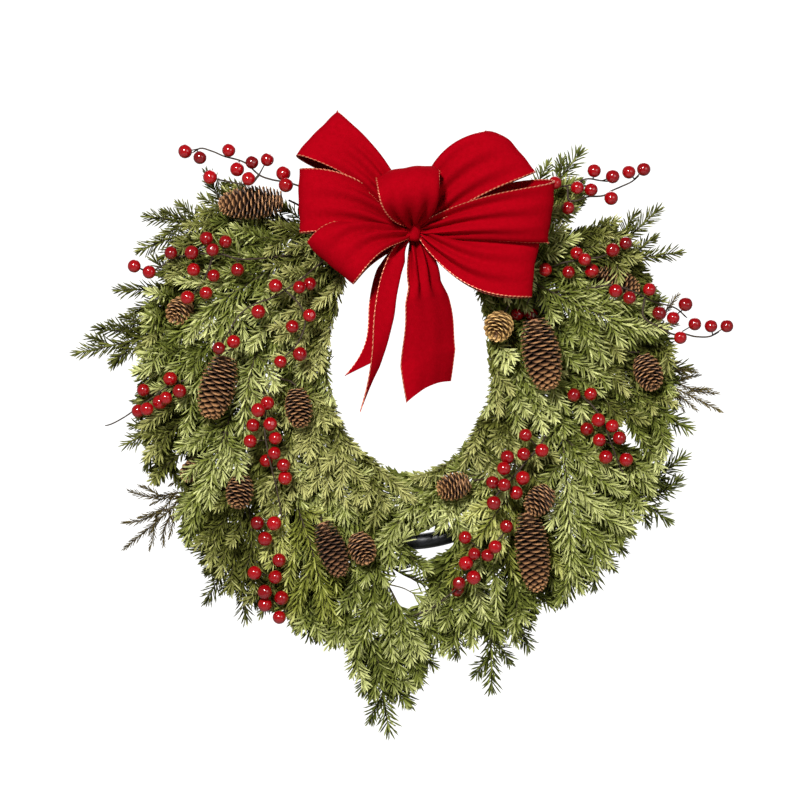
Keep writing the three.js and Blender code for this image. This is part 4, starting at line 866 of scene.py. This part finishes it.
CONE_BROWN = cone_finish("cone_brown", (0.010, 0.004, 0.002), (0.085, 0.034, 0.013), (0.56, 0.28, 0.115))
CONE_GOLDEN = cone_finish("cone_golden", (0.03, 0.014, 0.004), (0.26, 0.13, 0.035), (0.84, 0.52, 0.18))
CONE_DARK = cone_finish("cone_dark", (0.008, 0.004, 0.002), (0.05, 0.021, 0.010), (0.36, 0.17, 0.075))
CONE_WARM = cone_finish("cone_warm", (0.018, 0.007, 0.003), (0.15, 0.06, 0.02), (0.62, 0.32, 0.12))
CONE_FINISHES = {("cone_09", 0): CONE_GOLDEN, ("cone_08", 0): CONE_WARM, ("cone_05", 0): CONE_WARM,
                 ("cone_pair_07", 0): CONE_DARK}
print("cone finishes", len({CONE_BROWN, *CONE_FINISHES.values()}))


# %% Cones
LEAST_SCALES, SCALES_PER_MM = 32, 1.5
BASE_LEAN, END_LEAN = 78, 26  # degrees off the cone's middle line


def in_part(x, z, depth):
    """A place about the hoop's centre (mm) in the part's frame (m)."""
    return np.array([x, -depth, z + HOOP_MIDDLE[2]]) * MM


def cone_body(name, base, tip, width, finish):
    """The scales of one cone and its core."""
    axis = tip - base
    length = float(np.linalg.norm(axis))
    axis = axis / length
    aside = unit(np.cross(axis, (0.1, -1.0, 0.2)))
    front = np.cross(aside, axis)
    count = int(LEAST_SCALES + SCALES_PER_MM * length / MM)
    k = np.arange(count)
    share = (k + 0.5) / count
    turn = (k * GOLDEN)[:, None]
    away = np.cos(turn) * aside + np.sin(turn) * front
    outline = np.sin(np.pi * np.clip(0.16 + 0.80 * share, 0, 1)) ** 0.7
    radius = width / 2 * outline
    lean = np.radians(lerp(BASE_LEAN, END_LEAN, share**1.4))[:, None]
    way = np.cos(lean) * axis + np.sin(lean) * away
    size = np.clip(radius * 0.92, 4 * MM, None) / np.maximum(np.sin(lean[:, 0]), 0.55) * 0.9
    across = unit(np.cross(axis, away))
    up = np.cross(way, across)
    broad = np.clip(radius * 0.95, 4.5 * MM, None)
    foot = base + axis * (share * length * 0.93)[:, None] + away * (radius * 0.14)[:, None]
    tipward = (size * np.cos(lean[:, 0]) * 0.35)[:, None]
    foot = foot - axis * tipward
    axes = np.stack([across * broad[:, None], -up * (size * 0.5)[:, None], way * size[:, None]], axis=1)
    paler_tip = 0.3 * np.clip((share - 0.72) / 0.28, 0, 1)
    tones = np.clip(random.normal(0.07, 0.06, count) + paler_tip, 0, 1)
    # rise=5.0 keeps the light tone to the rims and paints the rest of each scale dark, partly as shade.
    scales = stamped(name, SCALE, SCALE_FACES, foot, axes, tones, finish, rise=5.0)
    middle = np.array([base, base + axis * length * 0.5, base + axis * length * 0.9])
    core = smooth_line(middle, np.array([0.16, 0.2, 0.08]) * width, 4 * MM)
    return [scales, tubes(name + "_core", [core], CONE_DARK, sides=8)]


def cone(name):
    parts = []
    for i, (bx, bz, bd, tx, tz, td, width) in enumerate(CONES[name]):
        finish = CONE_FINISHES.get((name, i), CONE_BROWN)
        parts += cone_body(f"{name}_{i}", in_part(bx, bz, bd), in_part(tx, tz, td), width * MM, finish)
    stalks = [smooth_line(s["points"], s["radii"] * 0.85, 4 * MM) for s in STEMS[name]]
    parts.append(tubes(name + "_stalk", stalks, BARK))
    return dress(join(name + "_scales", *parts), "cone", name)


cones = [cone(name) for name in CONES]
print("cones", len(cones), "triangles", sum(len(c.data.polygons) for c in cones))

# %% [markdown]
# ## Berries
# The berries are glossy and deep red, 13 mm across, each on a short wired stalk, with a tiny dark
# dimple at the far end. One berry starts as a ball, and its last ring is drawn in for the dimple.
# A smooth, strongly reflecting skin gives the small sharp highlight that is seen on each.
# %% The berry
bpy.ops.mesh.primitive_uv_sphere_add(segments=16, ring_count=12, radius=1.0)
berry = bpy.context.object
edit(berry)
pick(berry, lambda co: co.z > 0.99)
bpy.ops.transform.translate(value=(0, 0, -0.14))
pick(berry, lambda co: co.z > 0.8)
bpy.ops.transform.translate(value=(0, 0, -0.02))
bpy.ops.object.mode_set(mode="OBJECT")
BERRY, BERRY_FACES = pattern_of(berry)
RED = toned_finish("glossy_red_berry", (0.14, 0.0005, 0.002), (0.31, 0.0008, 0.0035),
                   (0.40, 0.0015, 0.005), 0.0, Roughness=0.15, Specular_IOR_Level=0.75)
DARK_END = mottled_finish("berry_dark_end", (0.01, 0.004, 0.003), (0.05, 0.015, 0.01), 900.0, Roughness=0.7)
print("berry", BERRY.shape, BERRY_FACES.shape)


# %% Berry sprays
def spray(name):
    twigs = [s for s in STEMS[name] if s["kind"] == "stem"]
    lines = [smooth_line(s["points"], np.maximum(s["radii"] * 0.85, 0.4 * MM), 3 * MM) for s in twigs]
    places, axes = [], []
    for root, neck in berry_stalks(name):
        way = unit(neck - root)
        lines.append((np.array([root, neck, neck + way * 2 * MM]), np.array([0.75, 0.6, 0.6]) * MM))
        aside = unit(np.cross(way, (0.3, -1.0, 0.2)))
        radius = BERRY_RADIUS * random.uniform(0.98, 1.12)
        places.append(neck + way * SEAT * radius)
        axes.append(np.array([aside, np.cross(way, aside), way]) * radius)
    places, axes = np.array(places), np.array(axes)
    tones = np.clip(random.normal(0.5, 0.2, len(places)), 0, 1)
    balls = stamped(name + "_balls", BERRY, BERRY_FACES, places, axes, tones, RED, smooth=True)
    balls.data.materials.append(DARK_END)
    middles = BERRY[BERRY_FACES].mean(axis=1)
    dimple = (middles[:, 2] > 0.8) & (np.linalg.norm(middles[:, :2], axis=1) < 0.14)
    balls.data.polygons.foreach_set("material_index", np.tile(dimple, len(places)).astype(int))
    wood = tubes(name + "_wood", lines, BARK)
    made = join(name + "_red", balls, wood)
    return dress(made, "berry", name), len(places)


SPRAYS = [spray(name) for name in SPRAY_NAMES]
print("berries", sum(n for _, n in SPRAYS))

# %% [markdown]
# ## The bow's ribbon
# The ribbon is crimson velvet, 63.5 mm wide, with a wired edge bound in gold thread. Each loop
# leaves the knot, runs out to its fold and comes back, pleated where the knot gathers it. A loop is
# computed as a grid: along it and across it. Where it is gathered, it stands in pleats that keep
# the cloth's true width. Velvet is soft and dull with a glow at grazing angles, which is sheen.
# %% Ribbon finishes
def gold_edge():
    """Gold thread wound over the edge's wire: slanted stripes in the cloth's own UV map."""
    finish = bpy.data.materials.new("gold_wired_edge")
    finish.use_nodes = True
    tree = finish.node_tree
    shader = tree.nodes["Principled BSDF"]
    cloth = node_in(tree, "ShaderNodeUVMap", uv_map="cloth")
    wave = node_in(tree, "ShaderNodeTexWave", wave_type="BANDS", bands_direction="DIAGONAL", Scale=150.0)
    ramp = node_in(tree, "ShaderNodeValToRGB")
    ramp.color_ramp.elements[0].color = (0.36, 0.012, 0.012, 1)
    ramp.color_ramp.elements[1].color = (0.85, 0.30, 0.16, 1)
    rough = node_in(tree, "ShaderNodeBump", Strength=0.6, Distance=0.0005)
    tree.links.new(cloth.outputs["UV"], wave.inputs["Vector"])
    tree.links.new(wave.outputs["Fac"], ramp.inputs["Fac"])
    tree.links.new(ramp.outputs["Color"], shader.inputs["Base Color"])
    tree.links.new(wave.outputs["Fac"], rough.inputs["Height"])
    tree.links.new(rough.outputs["Normal"], shader.inputs["Normal"])
    shader.inputs["Metallic"].default_value = 0.35
    shader.inputs["Roughness"].default_value = 0.4
    return finish


VELVET = mottled_finish("crimson_velvet", (0.245, 0.0002, 0.0030), (0.365, 0.0003, 0.0065), 260.0,
                        bump=0.25, Roughness=0.9, Specular_IOR_Level=0.02, Sheen_Weight=0.12,
                        Sheen_Roughness=0.4, Sheen_Tint=(0.8, 0.004, 0.02, 1))
GOLD = gold_edge()
print("ribbon finishes", VELVET.name, GOLD.name)

# %% Ribbon from a grid
WIDTH = 63.5  # mm
HALF = WIDTH / 2
THICK = 0.7  # mm
EDGE = 1.1 / WIDTH  # the bound edge, as a share of the width
INNER = 25  # places across the cloth between its bound edges
ACROSS = np.r_[0, EDGE / 2, EDGE, np.linspace(0.045, 0.955, INNER), 1 - EDGE, 1 - EDGE / 2, 1]
BEAD = np.array([0.6, 1.9, 1.0] + [1.0] * INNER + [1.0, 1.9, 0.6])  # thickness, thickest over the wire
PLEATS, DEEPEST = 3, 4.4  # pleats across the ribbon where it is gathered, and their depth in mm
RIPPLE = 0.9  # mm, how far the cloth wanders from even


def pleat_depth(share):
    """How deep the pleats are where the ribbon has only this share of its width. mm"""
    wave = WIDTH * share / PLEATS
    return np.minimum(DEEPEST, wave / math.pi * np.sqrt(1 / share - 1))


def pleated(middle_of, shares, steps, phase):
    """The middle of the cloth, in pleats where it is gathered, and its normals. mm."""
    s = np.linspace(0, 1, steps)
    sheet = np.array([[middle_of(a, b) for b in ACROSS] for a in s])
    out_s = np.gradient(sheet, s, axis=0)
    out_t = np.gradient(sheet, ACROSS, axis=1)
    normal = unit(np.cross(out_s, out_t))
    t = ACROSS[None, :, None]
    depth = pleat_depth(np.clip(shares(s), 0.05, 0.999))[:, None, None]
    ripple = RIPPLE * np.sin(9 * s + phase)[:, None, None] * np.sin(math.pi * (2 * t + phase))
    sheet = sheet + normal * (depth * np.cos(2 * math.pi * PLEATS * t + phase) + ripple)
    return sheet, unit(np.cross(np.gradient(sheet, s, axis=0), np.gradient(sheet, ACROSS, axis=1)))


def strip_faces(n, m):
    """The faces of a closed strip of n by m places, and whether each belongs to a bound edge."""
    top = np.arange(n * m).reshape(n, m)
    low = top + n * m
    quads, edge = [], []
    for i in range(n - 1):
        for j in range(m - 1):
            bound = j < 2 or j >= m - 3
            quads += [(top[i, j], top[i + 1, j], top[i + 1, j + 1], top[i, j + 1]),
                      (low[i, j], low[i, j + 1], low[i + 1, j + 1], low[i + 1, j])]
            edge += [bound, bound]
        for j, flip in ((0, False), (m - 1, True)):
            wall = (top[i, j], low[i, j], low[i + 1, j], top[i + 1, j])
            quads.append(wall[::-1] if flip else wall)
            edge.append(True)
    for i, flip in ((0, True), (n - 1, False)):
        for j in range(m - 1):
            wall = (top[i, j], low[i, j], low[i, j + 1], top[i, j + 1])
            quads.append(wall[::-1] if flip else wall)
            edge.append(False)
    return [tuple(int(c) for c in quad) for quad in quads], edge


def ribbon(name, middle_of, shares, steps, phase):
    """A closed strip and its length. middle_of(s, t) gives points in mm about the hoop's centre."""
    sheet, normal = pleated(middle_of, shares, steps, phase)
    offset = normal * THICK / 2 * BEAD[None, :, None]
    corners = np.concatenate([(sheet + offset).reshape(-1, 3), (sheet - offset).reshape(-1, 3)])
    quads, edge = strip_faces(steps, len(ACROSS))
    mesh = bpy.data.meshes.new(name)
    mesh.from_pydata(((corners + HOOP_MIDDLE) * MM).tolist(), [], quads)
    mesh.materials.append(VELVET)
    mesh.materials.append(GOLD)
    mesh.polygons.foreach_set("material_index", np.array(edge).astype(int))
    along = np.r_[0, np.cumsum(np.linalg.norm(np.diff(sheet, axis=0), axis=2).mean(axis=1))] * MM
    flat = np.stack(np.meshgrid(along, ACROSS * WIDTH * MM, indexing="ij"), axis=2).reshape(-1, 2)
    flat = np.concatenate([flat, flat])
    uv = mesh.uv_layers.new(name="cloth")
    loops = np.array([l.vertex_index for l in mesh.loops])
    uv.data.foreach_set("uv", flat[loops].ravel())
    made = bpy.data.objects.new(name, mesh)
    bpy.context.scene.collection.objects.link(made)
    edit(made)
    face_outwards()
    bpy.ops.object.shade_smooth_by_angle(angle=math.radians(50))
    length = float(along[-1])
    area = sum(p.area for p in mesh.polygons) / 2
    print(name, "length", round(length, 3), "area share", round(area / (WIDTH * MM) / length, 2))
    return made, length


# %% [markdown]
# ## Loops and tails
# A loop is placed by the two ends of its fold. Its front comes towards the eye and its back stays
# near the boughs, and the wired edge of most loops is rolled in a little. The left tail is folded
# down its length, so that its two halves hang one before the other. The right tail turns as it
# hangs and is cut on a slant. Written as formulas of the way along and across, each stays a true
# strip of ribbon that keeps its width.
# %% Loops of the bow
KNOT = np.array([8.0, -62.0, 153.0])  # mm about the hoop's centre
GATHERED, FULLNESS = 0.15, 0.7  # the share of its width at the knot, and how soon it widens: less is sooner
CUP = 5.0  # mm, how far the edges curl in
TUCK, PARTING = 9.3, 3.0  # mm from the knot's middle: where a loop starts, and its front and back
ROLL_FROM, ROLL_RADIUS = 0.72, 4.2  # where an edge rolls in, as a share of half the width, and mm
# Each loop, in mm about the hoop's centre: the two ends of its fold (x, z), the fold's depth, the
# swell, how far each edge bows aside, each corner's rounding, and which edge is rolled in, if any.
LOOPS = [
    ((-107, 225), (-68, 273), 78, 22, (15, 3), (0, 0.02), 1),
    ((-104, 213), (-104, 149), 80, 22, (-8, -9), (0, 0), 0),
    ((-103, 143), (-46, 96), 90, 24, (-13, -12), (0.03, 0), -1),
    ((83, 265), (134, 202), 82, 22, (-15, -11), (0.10, 0), -1),
    ((146, 199), (141, 139), 86, 24, (-3, -9), (0, 0), 1),
    ((134, 150), (124, 86), 68, 20, (12, 12), (0, 0), 0),
    ((-32, 202), (38, 212), 106, 27, (0, 0), (0.13, 0.08), 1),
]


def loop_width(s):
    rise = (1 - np.cos(2 * np.pi * s)) / 2
    return lerp(GATHERED, 1, np.sin(np.pi / 2 * rise) ** FULLNESS)


def loop_place(one, other, depth, swell, bow, rounding, rolled):
    middle = np.array([(one[0] + other[0]) / 2, -depth, (one[1] + other[1]) / 2])
    far = middle - KNOT
    half = np.array([(other[0] - one[0]) / 2, 0, (other[1] - one[1]) / 2])
    half[1] = math.sqrt(max(HALF**2 - half @ half, 0))
    half *= HALF / np.linalg.norm(half)
    normal = unit(np.cross(far, half))
    normal = -normal if normal[1] > 0 else normal

    def place(s, t):
        side = 2 * t - 1
        rise = (1 - math.cos(2 * math.pi * s)) / 2
        width = loop_width(s)
        front = math.cos(math.pi * s)
        past = side * rolled
        corner = rounding[int(side > 0)] * rise**3 * max(0.0, (abs(side) - 0.2) / 0.8) ** 2
        out = lerp(TUCK / np.linalg.norm(far), 1, rise) * (1 - corner)
        lift = swell * math.sin(2 * math.pi * s) * math.sin(math.pi * s) + PARTING * front
        lift -= CUP * width * side**2 * front
        aside = lerp(*bow, t) / HALF * math.sin(math.pi * rise)
        if past > ROLL_FROM:
            tight = max(abs(front) ** 0.35, 0.05)
            turn = (past - ROLL_FROM) * HALF / ROLL_RADIUS * tight
            side = rolled * (ROLL_FROM + ROLL_RADIUS / HALF / tight * math.sin(turn))
            lift -= ROLL_RADIUS / tight * (1 - math.cos(turn)) * math.copysign(1, front) * width
        return KNOT + far * out + normal * lift + half * (width * side + aside)

    return place, loop_width


# %% Tails of the bow
TAIL_GATHERED, TAIL_WIDENS = 0.08, 2.2  # the share of its width at the knot, and how fast it widens
FOLDED_GATHERED, FOLDED_WIDENS = 0.22, 3.2  # the same for the folded tail
FLARE = 11  # mm, how far the rear half of the folded tail swings out at its end
NOTCH = ((0, 0.42, 1), (0, 60, 36))  # shares of the folded tail's width, and mm cut off its end there
SLANT, BELLY = 11, 5  # mm, how the right tail's cut end slants and bows
# The line down each tail (x, z and depth), how the left one goes across (aside and depth), and how
# the right one turns (shares of its length, degrees).
FOLDED_TAIL = [(8, 155, 49), (-13, 134, 70), (-23, 109, 86), (-30, 71, 97), (-33, 30, 103),
               (-38, -1, 104), (-44, -27, 104)]
FOLDED_ACROSS = [(0, 0), (12, -7), (22, -14), (19, -24), (-5, -42)]
HUNG_TAIL = [(8, 155, 49), (15, 128, 56), (19, 100, 66), (24, 66, 75), (23, 35, 77), (23, -2, 78)]
HUNG_TURN = ((0.0, 0.35, 0.6, 0.8, 1.0), (0, 52, 40, 30, 46))


def tail_line(points):
    """The line down a tail, as a function of the share of its length."""
    fine, _ = smooth_line(np.array([(x, -d, z) for x, z, d in points], float), np.zeros(len(points)), 1.0)
    at = np.linspace(0, 1, len(fine))
    return lambda s: np.array([np.interp(s, at, fine[:, i]) for i in range(3)])


def tail_width(s):
    return lerp(TAIL_GATHERED, 1, np.minimum(1, TAIL_WIDENS * s))


def folded_width(s):
    return lerp(FOLDED_GATHERED, 1, np.minimum(1, FOLDED_WIDENS * s))


def folded_tail():
    """The left tail: folded down its length, with its front edge near its middle and a notched end."""
    line = tail_line(FOLDED_TAIL)
    across, _ = smooth_line(np.array(FOLDED_ACROSS, float), np.zeros(len(FOLDED_ACROSS)), 1.0)
    at = np.linspace(0, 1, len(across))

    def place(s, t):
        aside, deep = (np.interp(t, at, across[:, i]) * folded_width(s) for i in range(2))
        flare = FLARE * max(0.0, (s - 0.72) / 0.28) ** 2 * max(0.0, (t - 0.5) / 0.5) ** 1.5
        return line(s) + np.array([aside - flare, -deep, np.interp(t, *NOTCH) * s**1.5])

    return place, folded_width


def hung_tail():
    """The right tail: it turns a little as it hangs, and is cut on a slant."""
    line = tail_line(HUNG_TAIL)

    def place(s, t):
        side = 2 * t - 1
        turn = math.radians(np.interp(s, *HUNG_TURN))
        across = np.array([math.cos(turn), math.sin(turn), 0]) * HALF * tail_width(s)
        cut = (SLANT * side - BELLY * side**2) * s
        return line(s) + across * side + np.array([0, CUP * side**2, cut])

    return place, tail_width


# %% Making the bow
def bow_piece(name, shape, steps, node, phase):
    made, length = ribbon(name, *shape, steps, phase)
    return dress(made, "ribbon", node), length


loops = [bow_piece(f"bow_loop_{i + 1}", loop_place(*values), 72, "bow_loops", 0.7 * i)
         for i, values in enumerate(LOOPS)]
tails = [bow_piece(f"bow_tail_{i + 1}", shape, 56, "bow_tails", 0.5 + i)
         for i, shape in enumerate((folded_tail(), hung_tail()))]

bpy.ops.mesh.primitive_cylinder_add(vertices=36, radius=0.0088, depth=0.020,
    location=tuple((KNOT + HOOP_MIDDLE) * MM), rotation=(math.radians(8), math.radians(12), 0))
knot = bpy.context.object
knot.name = knot.data.name = "bow_knot"
bpy.ops.object.transform_apply(location=True, rotation=True, scale=True)
select_only(knot)
bevel = knot.modifiers.new("soft edges", "BEVEL")
bevel.width, bevel.segments, bevel.limit_method = 0.005, 4, "ANGLE"
bpy.ops.object.modifier_apply(modifier=bevel.name)
bpy.ops.object.shade_smooth()
knot.data.materials.append(VELVET)
dress(knot, "ribbon", "bow_loops")

wires = [smooth_line(s["points"], s["radii"], 3 * MM) for s in STEMS["bow_wire"]]
dress(tubes("bow_wire_fine", wires, TIE_WIRE), "tie_wire", "bow_wire")
print("bow", len(loops), "loops", len(tails), "tails")

# %% [markdown]
# ## Floor, backdrop and light
# The wreath hangs in front of a seamless pale bowl, so that each side is seen against the same
# plain ground. One soft light from the upper left models the shapes, a weaker one fills from the
# right, and one stands behind. The camera sees the bowl brightly lit, but the bowl gives the wreath
# only a little light, so that the gaps between the boughs stay as dark as real ones.
# %% Floor and backdrop
FLOOR_RADIUS, FLOOR_LEVEL, WALL_HEIGHT = 3.2, -1.7, 4.0  # m
STEPS, STEP = 8, 0.33  # of the curve from floor to wall: how many, and how long each is in m
bpy.ops.mesh.primitive_circle_add(vertices=96, radius=FLOOR_RADIUS, fill_type="NGON",
                                  location=(0, 0, FLOOR_LEVEL))
bowl = bpy.context.object
bowl.name = bowl.data.name = "pale_bowl"
bpy.ops.object.transform_apply(location=True, rotation=True, scale=True)
edit(bowl)
reach = FLOOR_RADIUS
for i in range(STEPS):
    turn = math.radians(90 / STEPS * (i + 0.5))
    wider = 1 + STEP * math.cos(turn) / reach
    bpy.ops.mesh.extrude_region_move(TRANSFORM_OT_translate={"value": (0, 0, STEP * math.sin(turn))})
    bpy.ops.transform.resize(value=(wider, wider, 1), center_override=(0, 0, 0))
    reach *= wider
bpy.ops.mesh.extrude_region_move(TRANSFORM_OT_translate={"value": (0, 0, WALL_HEIGHT)})
bpy.ops.mesh.delete(type="ONLY_FACE")
bpy.ops.object.mode_set(mode="OBJECT")
bpy.ops.object.shade_smooth()
PALE = mottled_finish("pale_paper", (0.44, 0.44, 0.437), (0.48, 0.48, 0.477), 3.0,
                      Roughness=0.9, Emission_Color=(1, 1, 1, 1))
pale_shader = PALE.node_tree.nodes["Principled BSDF"]
seen = node_in(PALE.node_tree, "ShaderNodeLightPath")
glow = node_in(PALE.node_tree, "ShaderNodeMapRange", **{"To Min": 0.06, "To Max": 1.0})
PALE.node_tree.links.new(seen.outputs["Is Camera Ray"], glow.inputs["Value"])
PALE.node_tree.links.new(glow.outputs[0], pale_shader.inputs["Emission Strength"])
bowl.data.materials.append(PALE)
print("bowl", round(reach, 2), "m to its wall")


# %% Lights
AIM = Vector((0, 0, -0.15))  # m, the middle of the wreath


def soft_light(name, place, power, size):
    data = bpy.data.lights.new(name, "AREA")
    data.energy, data.size = power, size
    light = bpy.data.objects.new(name, data)
    light.location = place
    light.rotation_euler = (AIM - Vector(place)).to_track_quat("-Z", "Y").to_euler()
    bpy.context.scene.collection.objects.link(light)


soft_light("key", (-0.65, -2.5, 1.05), 98, 0.4)
soft_light("fill", (1.8, -2.2, 0.4), 15, 1.4)
soft_light("back", (0.5, 2.2, 1.6), 32, 1.6)
world = bpy.data.worlds.new("studio")
world.use_nodes = True
world.node_tree.nodes["Background"].inputs["Color"].default_value = (1, 1, 1, 1)
world.node_tree.nodes["Background"].inputs["Strength"].default_value = 0.09
bpy.context.scene.world = world
bpy.context.scene.view_settings.view_transform = "Standard"
